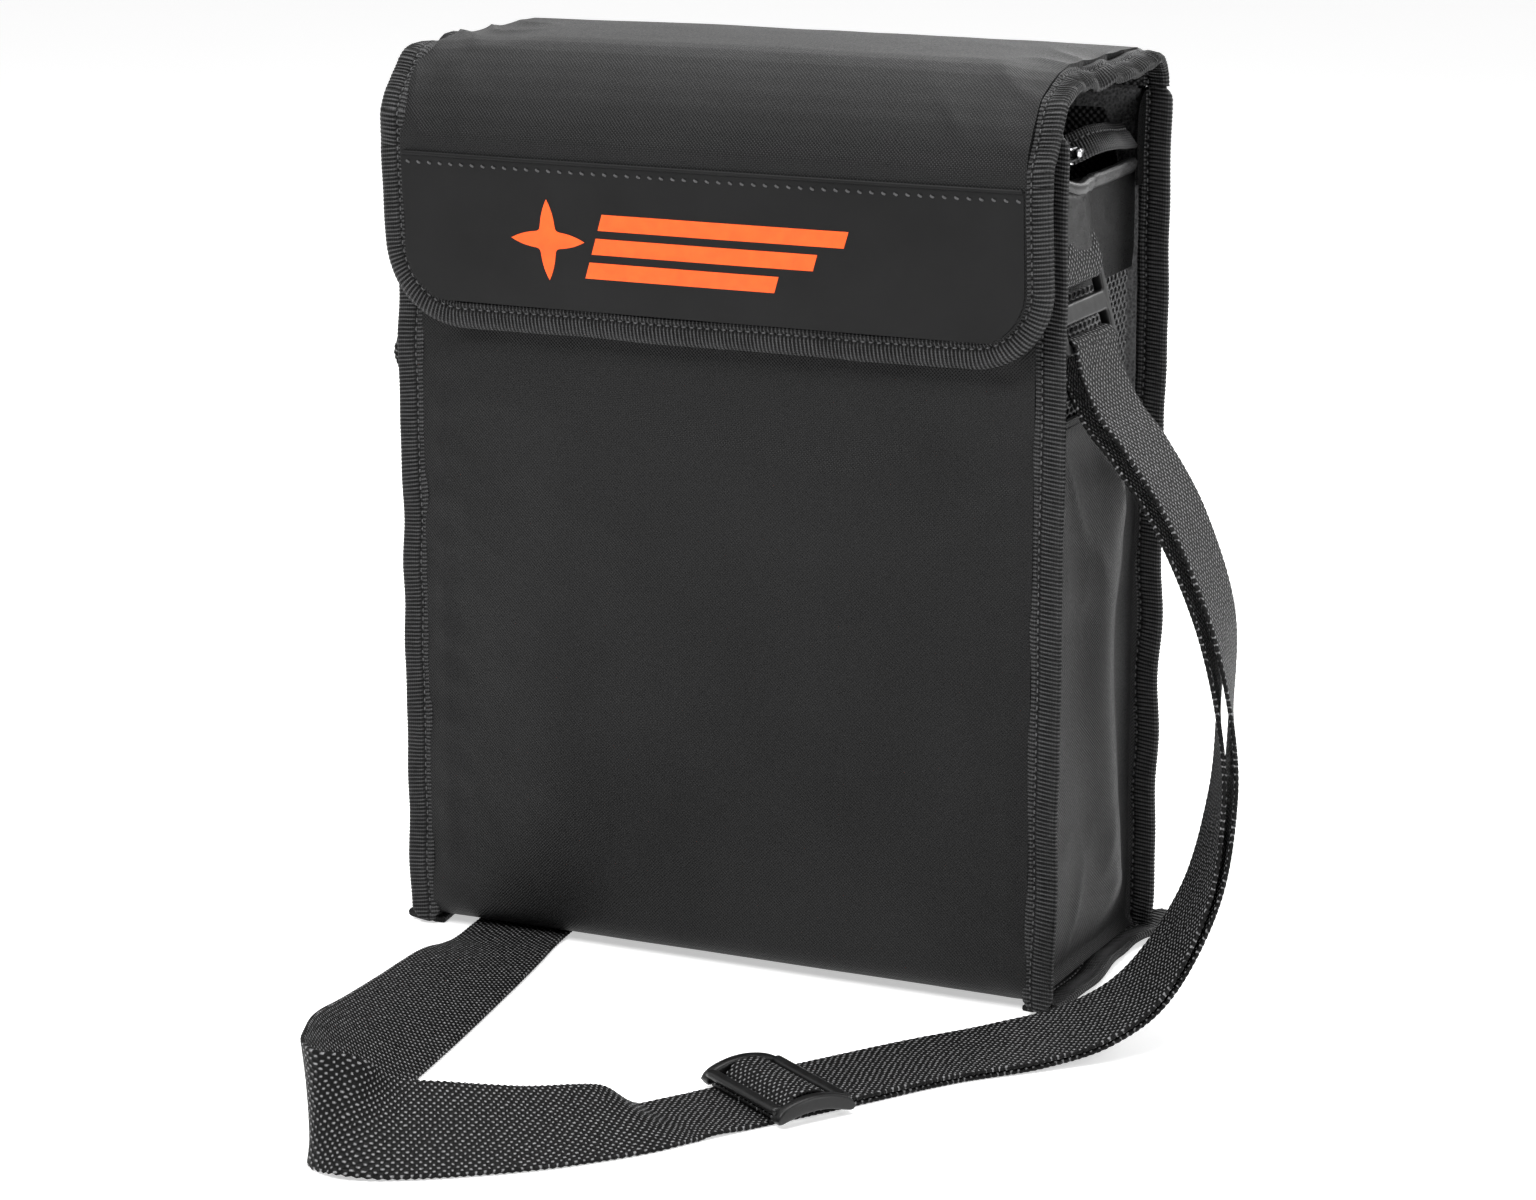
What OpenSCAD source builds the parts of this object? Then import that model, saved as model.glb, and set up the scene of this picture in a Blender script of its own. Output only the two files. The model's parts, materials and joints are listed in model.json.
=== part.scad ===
// Soft padded carry case with a wrap-over flap, a zipped top and a webbing shoulder strap.
// Millimetres. X is the width, -Y the front, +Z up. The case stands on z = 0, its box centred on X and Y.

/* [Case] */
// Width of the front panel between its side seams
body_w = 238; // [220:2:300]
// Depth from the front panel to the back panel
body_d = 104; // [90:2:140]
// Height over the closed flap
body_h = 330; // [300:5:380]
// Height of the air gap under the bottom panel
base_gap = 3.2; // [2.8:0.1:4]
// Radius of the fold from front to bottom to back
bottom_r = 8; // [6:1:12]

/* [Walls] */
// Thickness of the outer nylon
skin_t = 0.8; // [0.6:0.1:1]
// Thickness of the foam in the walls
foam_t = 4; // [3:0.5:5]
// Thickness of the lining cloth
lining_t = 0.6; // [0.4:0.1:0.8]
// Height at which the padded side ends and the mesh begins
mesh_z = 205; // [180:1:210]
// Height of the lower edge of the plain patch on the side
patch_z = 251; // [240:1:262]
// Height of the hem along the top of the side
hem_z = 291; // [285:1:291]

/* [Binding tape] */
// How far the bound seams stand out from the case
fin_w = 10; // [8:1:12]
// Thickness of a bound seam
fin_t = 3; // [2:0.5:4]

/* [Flap] */
// Width over the flap's bound edges
flap_w = 256; // [240:2:262]
// Thickness of the padded flap
flap_t = 4; // [3:0.5:5]
// How far the flap's front stands off the front panel
flap_stand = 12; // [12:1:16]
// Length of the hanging front of the flap
flap_drop = 64.5; // [60:0.5:80]
// Height of the smooth band on the flap's front
band_h = 63; // [50:1:63]
// Radius of the flap's lower corners
flap_r = 30; // [20:1:40]
// Radius of the fold at the flap's front edge
front_fold_r = 36; // [30:1:38]
// Radius of the fold at the flap's rear edge
rear_fold_r = 14; // [12:1:16]
// Angle at which the flap's front leans back to the case, in degrees
flap_tilt = 3.5; // [2:0.1:3.5]

/* [Zip] */
// Height of the top leaves
leaf_z = 294; // [294:1:296]
// Thickness of a top leaf
leaf_t = 1.4; // [1:0.1:1.6]
// Length of the zip that stays fixed to the case at each end
zip_end_l = 14; // [14:1:16]
// Length of the zip puller
puller_l = 14; // [10:1:15]

/* [Strap] */
// Width of the webbing
strap_w = 38; // [38:1:38]
// Thickness of the webbing
strap_t = 1.6; // [1.4:0.1:1.8]
// Width of a strap ring
ring_w = 49; // [49:1:52]
// Thickness of a strap ring's frame
ring_t = 4; // [3:0.5:4]
// Angle at which a strap ring leans out from the side, in degrees
ring_lean = 14; // [8:1:18]
// Length of the adjusting slider along the strap
slider_l = 30; // [28:1:33]

/* [Hidden] */
$fn = 48;

black = [0.06, 0.06, 0.065];
dark = [0.1, 0.1, 0.11];
tape_black = [0.13, 0.13, 0.14];
plastic_black = [0.03, 0.03, 0.03];
foam_grey = [0.35, 0.35, 0.36];
board_brown = [0.45, 0.36, 0.26];
metal_grey = [0.6, 0.6, 0.62];

half_w = body_w / 2;
y_rear = (body_d + flap_stand) / 2;
y_front = y_rear - body_d;
y_flap = -y_rear;
wall_t = skin_t + foam_t + lining_t;
bottom_top = base_gap + skin_t;
floor_z = 8;
front_top = 308;
back_top = body_h - rear_fold_r - 0.4;
front_fin_top = 310;
compartment_x = half_w - 5;
mesh_t = 1;
mesh_x = compartment_x + 0.6;
patch_t = 0.8;
hem_r = 1.6;
fit = 0.05;

// Top leaves and zip
leaf_half = compartment_x - 1;
leaf_gap = 0.5;
zip_y = 0;
zip_half_gap = 5;
tape_t = 0.8;
tape_lap = 9;
coil_w = 2;
coil_h = 2.4;
coil_gap = 0.8;
leaf_top = leaf_z + leaf_t;
coil_top = leaf_top + tape_t + coil_h + 0.1;
zip_fixed_x = half_w - 3;
zip_free_x = zip_fixed_x - zip_end_l - 1;
zip_slider_l = 12;
zip_slider_x = zip_fixed_x - 7;
zip_slider_plate = 1;
pivot_lift = 3.4;
pin_r = 0.8;
eye_r = 2;

// Flap
front_fold_y = y_flap + front_fold_r;
front_fold_z = body_h - front_fold_r;
rear_fold_y = y_rear - rear_fold_r;
rear_fold_z = body_h - rear_fold_r;
flap_lining_t = 0.8;
flap_half = flap_w / 2;
flap_inner_half = flap_half - fin_w;
fold_gap = 0.4;
binding_gap = 1.5;
binding_t = flap_t + 0.6;
closure_w = 100;
closure_h = 20;
closure_z = flap_drop - 15;

// Strap rings: the top bar is the axis that the ring swings on
bar_r = 2;
loop_gap = 0.5;
ring_y = -17;
ring_z = 259;
ring_x = mesh_x + mesh_t + patch_t + 0.2 + strap_t + loop_gap + bar_r;
rail_w = (ring_w - strap_w - 2) / 2;
centre_bar_top = 9;
centre_bar_h = 7;
low_bar = 24.2;
loop_in_r = bar_r + 0.2;
loop_out_r = loop_in_r + strap_t;
loop_mid_r = loop_in_r + strap_t / 2;

// Strap slider on the floor, and the strap's straight run through it
slider_x = 76;
slider_y = -160;
slider_angle = 57;
run = [cos(slider_angle), sin(slider_angle), 0];
across = [-sin(slider_angle), cos(slider_angle), 0];
slider_at = [slider_x, slider_y, 0];
lie = strap_t / 2 + 0.2;
pair_lie = lie + 0.95;

// Doubled strap from the right ring to the slider: point between the layers, across direction, half distance
pair_route = [
    [[126.63, -17, 235.23], [0, 1, 0], loop_mid_r],
    [[129.5, -17, 224], [0, 1, 0], 3.1],
    [[136.5, -17, 211], [0, 1, 0], 3],
    [[147.5, -17, 198], [0, 1, 0], 2.8],
    [[162.5, -17, 175], [-0.04, 1, -0.01], 2.6],
    [[176, -18, 142], [-0.13, 0.99, -0.03], 2.4],
    [[181, -20, 107], [-0.34, 0.93, -0.08], 2.2],
    [[182, -24, 80], [-0.44, 0.89, -0.13], 2],
    [[178, -33, 48.5], [-0.55, 0.82, -0.15], 1.6],
    [[166, -49, 20.5], [-0.66, 0.75, -0.08], 1.2],
    [[151, -66, 8], [-0.73, 0.68, -0.02], 1],
    [[132, -85, 3.4], [-0.81, 0.59, 0.02], 0.95],
    [slider_at + 60 * run + [0, 0, pair_lie], across, 0.95],
    [slider_at + 20 * run + [0, 0, pair_lie], across, 0.95],
    [slider_at + [0, 0, pair_lie], across, 0.95]
];

// Single strap from the slider round to the left ring: centre point, across direction
single_route = [
    [slider_at - 20 * run + [0, 0, lie], across],
    [slider_at - 42 * run + [0, 0, lie], across],
    [[43, -213.5, 6.3], [-0.66, 0.69, 0.28]],
    [[25, -234.5, 8.4], [-0.58, 0.71, 0.39]],
    [[6, -251.5, 10.6], [-0.5, 0.69, 0.51]],
    [[-12, -264.5, 12.6], [-0.4, 0.66, 0.62]],
    [[-24, -272, 17.4], [-0.14, 0.44, 0.88]],
    [[-33, -273.5, 19.1], [-0.04, 0.12, 0.98]],
    [[-39.5, -266, 19.2], [-0.12, 0.02, 0.99]],
    [[-43.5, -251, 18.6], [-0.3, -0.03, 0.95]],
    [[-49, -228, 16.6], [-0.55, -0.05, 0.83]],
    [[-57, -192, 12.4], [-0.8, -0.05, 0.6]],
    [[-65, -150, 9.2], [-0.9, -0.1, 0.43]],
    [[-74, -102, 6.2], [-0.95, -0.15, 0.27]],
    [[-80, -72, 2.7], [-0.98, -0.17, 0.08]],
    [[-84, -52, lie], [-0.98, -0.16, 0]],
    [[-89, -12, lie], [-0.99, -0.1, 0]],
    [[-93, 32, lie], [-1, -0.08, 0]],
    [[-96, 64, lie + 0.3], [-1, -0.08, 0]],
    [[-98, 84, 4.6], [-1, -0.08, 0]],
    [[-101, 98, 16], [-1, -0.05, -0.05]],
    [[-105, 104, 40], [-0.98, 0, -0.18]],
    [[-112, 103, 66], [-0.94, 0, -0.33]],
    [[-124, 96, 94], [-0.84, -0.08, -0.5]],
    [[-138, 82, 122], [-0.66, -0.37, -0.64]],
    [[-147, 60, 149], [-0.27, -0.6, -0.75]],
    [[-149.5, 34, 174], [-0.02, -0.72, -0.7]],
    [[-146, 8, 197], [0, -0.84, -0.52]],
    [[-138, -9, 217], [0, -0.97, -0.2]],
    [[-132.3, -17, 227], [0, -1, 0]],
    [[-129.46, -17, 235.95], [0, -1, 0]]
];

// Short end of the strap, turned back through the left ring and sewn down
tail_route = [
    [[-123.75, -17, 234.52], [0, 1, 0]],
    [[-125.8, -17, 226], [0, 1, 0]],
    [[-130.2, -15.5, 214], [0, 1, 0.1]],
    [[-137.2, -5, 199], [0, 0.95, 0.3]]
];

function unit(v) = v / norm(v);

// Direction of a row of points at one of them
function heading(pts, i) = unit(pts[min(i + 1, len(pts) - 1)] - pts[max(i - 1, 0)]);

// Cross-section of the webbing at a point: a flat strip with eased edges
function strap_ring(p, t, w) =
    let (across_w = unit(w - (w * t) * t), up = cross(t, across_w),
         a = strap_w / 2, b = strap_t / 2, e = 0.35)
    [for (c = [[a, -b + e], [a, b - e], [a - e, b], [e - a, b], [-a, b - e], [-a, e - b], [e - a, -b], [a - e, -b]])
        p + c[0] * across_w + c[1] * up];

function strap_rings(pts, ws) = [for (i = [0 : len(pts) - 1]) each strap_ring(pts[i], heading(pts, i), ws[i])];

// Points of one layer of the doubled strap, set off to one side
pair_points = [for (row = pair_route) row[0]];
function layer(side) = [
    for (i = [0 : len(pair_route) - 1])
        let (t = i == 0 ? [sin(ring_lean), 0, -cos(ring_lean)] : heading(pair_points, i), w = pair_route[i][1])
        pair_points[i] + side * pair_route[i][2] * unit(cross(t, unit(w - (w * t) * t)))
];

// Sweeps the webbing through a row of points. Both faces of a twisted stretch are split along the same diagonal.
module webbing(pts, ws) {
    n = 8;
    m = len(pts);
    rings = strap_rings(pts, ws);
    sides = [for (i = [0 : m - 2]) for (j = [0 : n - 1])
        let (k = (j + 1) % n, a = i * n + j, b = i * n + k, c = (i + 1) * n + k, d = (i + 1) * n + j)
        each j < n / 2 ? [[a, b, c], [a, c, d]] : [[a, b, d], [b, c, d]]];
    start = [[for (j = [n - 1 : -1 : 0]) j]];
    end = [[for (j = [0 : n - 1]) (m - 1) * n + j]];
    polyhedron(rings, concat(start, sides, end));
}

// Box given by its low and high corners
module block(low, high) {
    translate(low) cube(high - low);
}

// The same box on the right or the left of the case
module side_block(side, low, high) {
    scale_x = side > 0 ? 0 : 1;
    mirror([scale_x, 0, 0]) block(low, high);
}

// Draws a flat shape of y and z as a bar along X
module along_x(x_low, x_high) {
    translate([x_low, 0, 0]) rotate([90, 0, 90]) linear_extrude(x_high - x_low) children();
}

// Draws a flat shape of x and z as a bar along Y
module along_y(y_low, y_high) {
    translate([0, y_high, 0]) rotate([90, 0, 0]) linear_extrude(y_high - y_low) children();
}

// Outline of the case seen from the side, rounded at its bottom corners
module case_outline(inset, top_z) {
    r = bottom_r - inset;
    low = base_gap + inset;
    front = y_front + inset;
    rear = y_rear - inset;
    translate([front, low + r]) square([rear - front, top_z - low - r]);
    translate([front + r, low]) square([rear - front - 2 * r, r]);
    for (y = [front + r, rear - r]) translate([y, low + r]) circle(r);
}

module outer_wrap() {
    color(black) along_x(-half_w, half_w) difference() {
        case_outline(0, back_top);
        case_outline(skin_t, back_top + 1);
        translate([y_front - 1, front_top]) square([body_d / 2, body_h]);
    }
}

module front_foam() {
    color(foam_grey) block([1 - half_w, y_front + skin_t, bottom_top + bottom_r],
        [half_w - 1, y_front + skin_t + foam_t, front_top]);
}

module back_foam() {
    color(foam_grey) block([1 - half_w, y_rear - skin_t - foam_t, bottom_top + bottom_r],
        [half_w - 1, y_rear - skin_t, back_top]);
}

module base_board() {
    color(board_brown) block([-compartment_x, y_front + bottom_r, bottom_top],
        [compartment_x, y_rear - bottom_r, bottom_top + 2]);
}

module base_foam() {
    color(foam_grey) block([-compartment_x, y_front + bottom_r, bottom_top + 2],
        [compartment_x, y_rear - bottom_r, floor_z]);
}

module lining() {
    low = [-compartment_x, y_front + skin_t + foam_t, floor_z];
    high = [compartment_x, y_rear - skin_t - foam_t, front_top];
    wall = [lining_t, lining_t, lining_t];
    top_cut = [-lining_t, -lining_t, 1];
    color(dark) difference() {
        block(low, high);
        block(low + wall, high + top_cut);
        for (side = [-1, 1])
            side_block(side, [compartment_x - 1, y_front, hem_z - 3], [half_w, y_rear, body_h]);
    }
}

// Tape folded over the top edge of the front wall
module front_top_binding() {
    color(tape_black) difference() {
        block([1 - half_w, y_front - 0.8, front_top - 8], [half_w - 1, y_front + wall_t + 0.8, front_top + 0.8]);
        block([-half_w, y_front, 0], [half_w, y_front + wall_t, front_top]);
    }
}

module loop_strip() {
    z = front_fold_z - closure_z;
    color(tape_black) block([-closure_w / 2, y_front - 1.6, z], [closure_w / 2, y_front, z + closure_h]);
}

module gusset(side) {
    mirror([side > 0 ? 0 : 1, 0, 0]) color(black) along_x(half_w - skin_t, half_w)
        case_outline(skin_t + fit, mesh_z);
}

module gusset_foam(side) {
    color(foam_grey) side_block(side, [compartment_x, y_front + wall_t, floor_z],
        [half_w - skin_t, y_rear - wall_t, mesh_z]);
}

module mesh_panel(side) {
    color(dark) side_block(side, [mesh_x, y_front + wall_t, mesh_z],
        [mesh_x + mesh_t, y_rear - wall_t, hem_z - hem_r - 0.1]);
}

// Plain patch over the top of the mesh, with the rolled hem of the side above it
module patch(side) {
    x = mesh_x + mesh_t;
    mirror([side > 0 ? 0 : 1, 0, 0]) color(black) {
        block([x, y_front + wall_t, patch_z], [x + patch_t, y_rear - wall_t, hem_z]);
        translate([x + patch_t / 2, y_front + wall_t, hem_z]) rotate([-90, 0, 0])
            cylinder(r = hem_r, h = body_d - 2 * wall_t);
    }
}

module front_binding(side) {
    color(tape_black) side_block(side, [half_w, y_front, base_gap], [half_w + fin_w, y_front + fin_t, front_fin_top]);
}

module rear_binding(side) {
    color(tape_black) side_block(side, [half_w, y_rear - fin_t, base_gap], [half_w + fin_w, y_rear, back_top]);
}

module bottom_binding(side) {
    color(tape_black) side_block(side, [half_w, y_front, 0], [half_w + fin_w, y_rear, base_gap]);
}

// One half of the zip, lying across a stretch of its length
module zip_half(back, x_low, x_high, z) {
    s = back > 0 ? 1 : -1;
    near = zip_y + s * coil_gap;
    far = zip_y + s * tape_lap;
    coil_far = near + s * coil_w;
    block([x_low, min(near, far), z], [x_high, max(near, far), z + tape_t]);
    block([x_low, min(near, coil_far), z + tape_t], [x_high, max(near, coil_far), z + tape_t + coil_h]);
}

module zip_end(side) {
    z = leaf_top + 0.1;
    mirror([side > 0 ? 0 : 1, 0, 0]) color(dark) {
        for (back = [-1, 1]) zip_half(back, zip_fixed_x - zip_end_l, zip_fixed_x, z);
        block([zip_fixed_x - 0.5, zip_y - 3.4, z + tape_t], [zip_fixed_x + 1, zip_y + 3.4, coil_top + 0.6]);
    }
}

// Folded tape that ties the end of the zip to the hem of the side
module zip_tab(side) {
    x = mesh_x + mesh_t + patch_t + 1.4;
    mirror([side > 0 ? 0 : 1, 0, 0]) color(tape_black) {
        block([x, zip_y - 7, hem_z - 9], [x + 1.4, zip_y + 7, leaf_top + 2.4]);
        block([x, zip_y - 7, leaf_top + 2.4], [x + 8, zip_y + 7, leaf_top + 3.8]);
    }
}

// Loop of webbing round a ring's top bar, its two ends sewn to the patch
module strap_tab(side) {
    inner_x = ring_x - bar_r - loop_gap - strap_t;
    loop_r = bar_r + loop_gap;
    lift = 16;
    mirror([side > 0 ? 0 : 1, 0, 0]) color(tape_black)
        along_y(ring_y - strap_w / 2, ring_y + strap_w / 2) difference() {
            union() {
                translate([ring_x, ring_z]) circle(loop_r + strap_t);
                translate([inner_x, ring_z]) square([2 * (loop_r + strap_t), lift]);
            }
            translate([ring_x, ring_z]) circle(loop_r);
            translate([inner_x + strap_t, ring_z]) square([2 * loop_r, lift - strap_t]);
        }
}

// Flap profile in y and z between two depths below its outer face
module flap_arc(outer, inner) {
    difference() {
        union() {
            translate([front_fold_y, front_fold_z]) circle(front_fold_r - outer);
            translate([rear_fold_y, rear_fold_z]) circle(rear_fold_r - outer);
            translate([front_fold_y, front_fold_z]) square([rear_fold_y - front_fold_y, front_fold_r - outer]);
        }
        translate([front_fold_y, front_fold_z]) circle(front_fold_r - inner);
        translate([rear_fold_y, rear_fold_z]) circle(rear_fold_r - inner);
        translate([front_fold_y, 0]) square([rear_fold_y - front_fold_y, body_h - inner]);
        translate([y_flap - 1, 0]) square([body_d + 2 * flap_stand, front_fold_z]);
        translate([rear_fold_y, 0]) square([rear_fold_r + 1, rear_fold_z + fold_gap]);
    }
}

module flap_top_panel() {
    color(dark) along_x(-flap_inner_half, flap_inner_half) flap_arc(0, flap_t - flap_lining_t);
}

module flap_top_lining() {
    color(tape_black) along_x(-flap_inner_half, flap_inner_half) flap_arc(flap_t - flap_lining_t, flap_t);
}

module flap_side_binding(side) {
    x = flap_inner_half;
    mirror([side > 0 ? 0 : 1, 0, 0]) color(tape_black) along_x(x, flap_half) difference() {
        flap_arc(0, flap_t + 1);
        translate([rear_fold_y, 0]) square([rear_fold_r + 1, rear_fold_z + binding_gap]);
    }
}

// Places a shape on the hanging front of the flap: z = 0 at its fold, y = 0 on its outer face
module on_flap_front() {
    translate([0, y_flap, front_fold_z]) rotate([flap_tilt, 0, 0]) children();
}

// Hanging outline with round lower corners, between two depths
module hanging_plate(half, drop, r, depth_low, depth_high, top) {
    translate([0, depth_high, 0]) rotate([90, 0, 0]) linear_extrude(depth_high - depth_low) {
        translate([-half, r - drop]) square([2 * half, drop - r - top]);
        translate([r - half, -drop]) square([2 * (half - r), r]);
        for (x = [r - half, half - r]) translate([x, r - drop]) circle(r);
    }
}

module flap_front_panel() {
    inner_drop = flap_drop - fin_w;
    color(dark) on_flap_front() {
        hanging_plate(flap_inner_half, inner_drop, flap_r - fin_w, 0.8, flap_t - flap_lining_t, fold_gap);
        block([-flap_inner_half, 0, band_h - flap_drop + 0.2], [flap_inner_half, 0.8, -fold_gap]);
    }
}

module flap_front_lining() {
    color(tape_black) on_flap_front()
        hanging_plate(flap_inner_half, flap_drop - fin_w, flap_r - fin_w, flap_t - flap_lining_t, flap_t, fold_gap);
}

module flap_band() {
    color(plastic_black) on_flap_front()
        hanging_plate(flap_inner_half, flap_drop - fin_w, flap_r - fin_w, 0, 0.8, flap_drop - band_h);
}

module flap_front_binding() {
    color(tape_black) on_flap_front() difference() {
        hanging_plate(flap_half, flap_drop, flap_r, 0, binding_t, binding_gap);
        hanging_plate(flap_inner_half, flap_drop - fin_w, flap_r - fin_w, -1, binding_t + 1, -1);
    }
}

module hook_strip() {
    color(tape_black) on_flap_front()
        block([-closure_w / 2, flap_t, -closure_z], [closure_w / 2, flap_t + 1.5, closure_h - closure_z]);
}

module front_leaf() {
    color(dark) block([-leaf_half, y_front + wall_t + leaf_gap, leaf_z], [leaf_half, zip_y - zip_half_gap, leaf_top]);
}

module rear_leaf() {
    color(dark) block([-leaf_half, zip_y + zip_half_gap, leaf_z], [leaf_half, y_rear - wall_t - leaf_gap, leaf_top]);
}

module front_zip_tape() {
    color(tape_black) zip_half(-1, -zip_free_x, zip_free_x, leaf_top);
}

module rear_zip_tape() {
    color(tape_black) zip_half(1, -zip_free_x, zip_free_x, leaf_top);
}

module zip_slider() {
    x = zip_slider_x - zip_slider_l / 2;
    w = 4.4;
    low = leaf_top - 1.4;
    high = coil_top + 0.3;
    pin_z = coil_top + 0.3 + pivot_lift;
    color(metal_grey) {
        block([x, zip_y - w, low], [x + zip_slider_l, zip_y + w, low + zip_slider_plate]);
        block([x, zip_y - w, high], [x + zip_slider_l, zip_y + w, high + zip_slider_plate]);
        block([x + 8, zip_y - 0.5, low], [x + 11, zip_y + 0.5, high + zip_slider_plate]);
        for (y = [-3, 2]) block([zip_slider_x - 1.5, zip_y + y, high], [zip_slider_x + 1.5, zip_y + y + 1, pin_z + 1.2]);
        translate([zip_slider_x, zip_y + 3, pin_z]) rotate([90, 0, 0]) cylinder(r = pin_r, h = 6);
    }
}

module zip_puller() {
    pin_z = coil_top + 0.3 + pivot_lift;
    color(metal_grey) translate([zip_slider_x, zip_y, pin_z]) difference() {
        union() {
            translate([0, 1.7, 0]) rotate([90, 0, 0]) cylinder(r = eye_r, h = 3.4);
            block([-puller_l + 2.5, -1.7, -0.6], [0, 1.7, 0.6]);
            translate([-puller_l + 2.5, 0, -0.6]) cylinder(r = 2.5, h = 1.2);
        }
        translate([0, 2, 0]) rotate([90, 0, 0]) cylinder(r = pin_r + 0.3, h = 4);
    }
}

// Places a shape on a strap ring: y = 0 at its middle, z = 0 on its top bar, -z down along the strap
module on_ring(side) {
    mirror([side > 0 ? 0 : 1, 0, 0]) translate([ring_x, ring_y, ring_z]) rotate([0, -ring_lean, 0]) children();
}

module strap_ring_frame(side) {
    inner = ring_w / 2 - rail_w;
    color(plastic_black) on_ring(side) {
        for (y = [-ring_w / 2, inner]) {
            block([-ring_t / 2, y, -low_bar], [ring_t / 2, y + rail_w, 0]);
            for (z = [0, -low_bar]) translate([0, y, z]) rotate([-90, 0, 0]) cylinder(r = ring_t / 2, h = rail_w);
        }
        for (z = [0, -low_bar]) translate([0, -inner, z]) rotate([-90, 0, 0]) cylinder(r = bar_r, h = 2 * inner);
        block([-1.2, -inner, -centre_bar_top - centre_bar_h], [1.2, inner, -centre_bar_top]);
    }
}

// Webbing folded over a ring's lower bar
module ring_loop(side) {
    color(tape_black) on_ring(side) translate([0, 0, -low_bar]) along_y(-strap_w / 2, strap_w / 2) difference() {
        circle(loop_out_r);
        circle(loop_in_r);
        translate([-loop_out_r - 1, -2 * loop_out_r]) square([2 * loop_out_r + 2, 2 * loop_out_r]);
    }
}

// Places a shape on the strap slider: x along the strap, y across it
module on_slider() {
    translate(slider_at) rotate([0, 0, slider_angle]) children();
}

module strap_slider() {
    inner = ring_w / 2 - rail_w;
    half_l = slider_l / 2;
    end_bar = 4.5;
    color(plastic_black) on_slider() {
        for (y = [-ring_w / 2, inner]) along_y(y, y + rail_w) intersection() {
            translate([0, -30]) circle(40);
            translate([-half_l, 0.4]) square([slider_l, 12]);
        }
        for (x = [-half_l, half_l - end_bar]) block([x, -inner, 4.2], [x + end_bar, inner, 6.6]);
        block([-3.5, -inner, 5], [3.5, inner, 7.5]);
    }
}

// Hump of webbing that runs over the slider's middle bar
module strap_slider_webbing() {
    color(tape_black) on_slider() along_y(-strap_w / 2, strap_w / 2)
        polygon([[-9.8, 4.2], [-4.6, 9.4], [4.6, 9.4], [9.8, 4.2], [8, 4.2], [3.9, 7.8], [-3.9, 7.8], [-8, 4.2]]);
}

module strap_main() {
    pts = concat(layer(1), [for (row = single_route) row[0]]);
    ws = concat([for (row = pair_route) row[1]], [for (row = single_route) row[1]]);
    color(tape_black) webbing(pts, ws);
}

module strap_return() {
    color(tape_black) webbing(layer(-1), [for (row = pair_route) row[1]]);
}

module left_strap_tail() {
    color(tape_black) webbing([for (row = tail_route) row[0]], [for (row = tail_route) row[1]]);
}

outer_wrap();
front_foam();
back_foam();
base_board();
base_foam();
lining();
front_top_binding();
loop_strip();
gusset(1);  // right_gusset
gusset(-1);  // left_gusset
gusset_foam(1);  // right_gusset_foam
gusset_foam(-1);  // left_gusset_foam
mesh_panel(1);  // right_mesh
mesh_panel(-1);  // left_mesh
patch(1);  // right_patch
patch(-1);  // left_patch
front_binding(1);  // right_front_binding
front_binding(-1);  // left_front_binding
rear_binding(1);  // right_rear_binding
rear_binding(-1);  // left_rear_binding
bottom_binding(1);  // right_bottom_binding
bottom_binding(-1);  // left_bottom_binding
zip_end(1);  // right_zip_end
zip_end(-1);  // left_zip_end
zip_tab(1);  // right_zip_tab
zip_tab(-1);  // left_zip_tab
strap_tab(1);  // right_strap_tab
strap_tab(-1);  // left_strap_tab
flap_top_panel();
flap_top_lining();
flap_side_binding(1);  // flap_right_binding
flap_side_binding(-1);  // flap_left_binding
flap_front_panel();
flap_front_lining();
flap_band();
flap_front_binding();
hook_strip();
front_leaf();
front_zip_tape();
rear_leaf();
rear_zip_tape();
zip_slider();
zip_puller();
strap_ring_frame(1);  // right_ring
ring_loop(1);  // right_strap_loop
strap_ring_frame(-1);  // left_ring
ring_loop(-1);  // left_strap_loop
left_strap_tail();
strap_slider();
strap_slider_webbing();
strap_main();
strap_return();
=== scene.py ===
"""Looks of a soft padded carry case with a wrap-over flap and a webbing shoulder strap.

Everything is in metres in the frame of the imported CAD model: X is the width, -Y the front, +Z up.
"""

import json
import math

import bmesh
import bpy
import numpy as np
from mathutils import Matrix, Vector


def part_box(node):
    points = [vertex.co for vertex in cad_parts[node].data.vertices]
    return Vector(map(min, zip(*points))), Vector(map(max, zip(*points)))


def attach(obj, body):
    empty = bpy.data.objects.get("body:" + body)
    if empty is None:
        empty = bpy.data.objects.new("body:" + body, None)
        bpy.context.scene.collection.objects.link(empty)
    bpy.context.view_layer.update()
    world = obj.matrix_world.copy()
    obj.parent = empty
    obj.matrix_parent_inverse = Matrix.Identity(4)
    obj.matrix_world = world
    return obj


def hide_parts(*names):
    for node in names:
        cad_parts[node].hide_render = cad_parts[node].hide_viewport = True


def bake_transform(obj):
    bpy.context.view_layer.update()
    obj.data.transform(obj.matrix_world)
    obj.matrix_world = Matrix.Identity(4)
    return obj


MM = 0.001
SIDES = ((1, "right"), (-1, "left"))
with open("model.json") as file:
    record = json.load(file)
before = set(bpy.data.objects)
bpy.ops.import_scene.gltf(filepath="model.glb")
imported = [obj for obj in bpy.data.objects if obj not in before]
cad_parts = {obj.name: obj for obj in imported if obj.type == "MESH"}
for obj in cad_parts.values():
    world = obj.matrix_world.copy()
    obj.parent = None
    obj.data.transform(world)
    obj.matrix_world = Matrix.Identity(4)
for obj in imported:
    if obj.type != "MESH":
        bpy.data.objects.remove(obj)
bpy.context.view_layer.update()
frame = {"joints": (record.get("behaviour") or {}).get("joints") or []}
scene = bpy.context.scene


# ---------------------------------------------------------------- camera, light and floor

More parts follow.
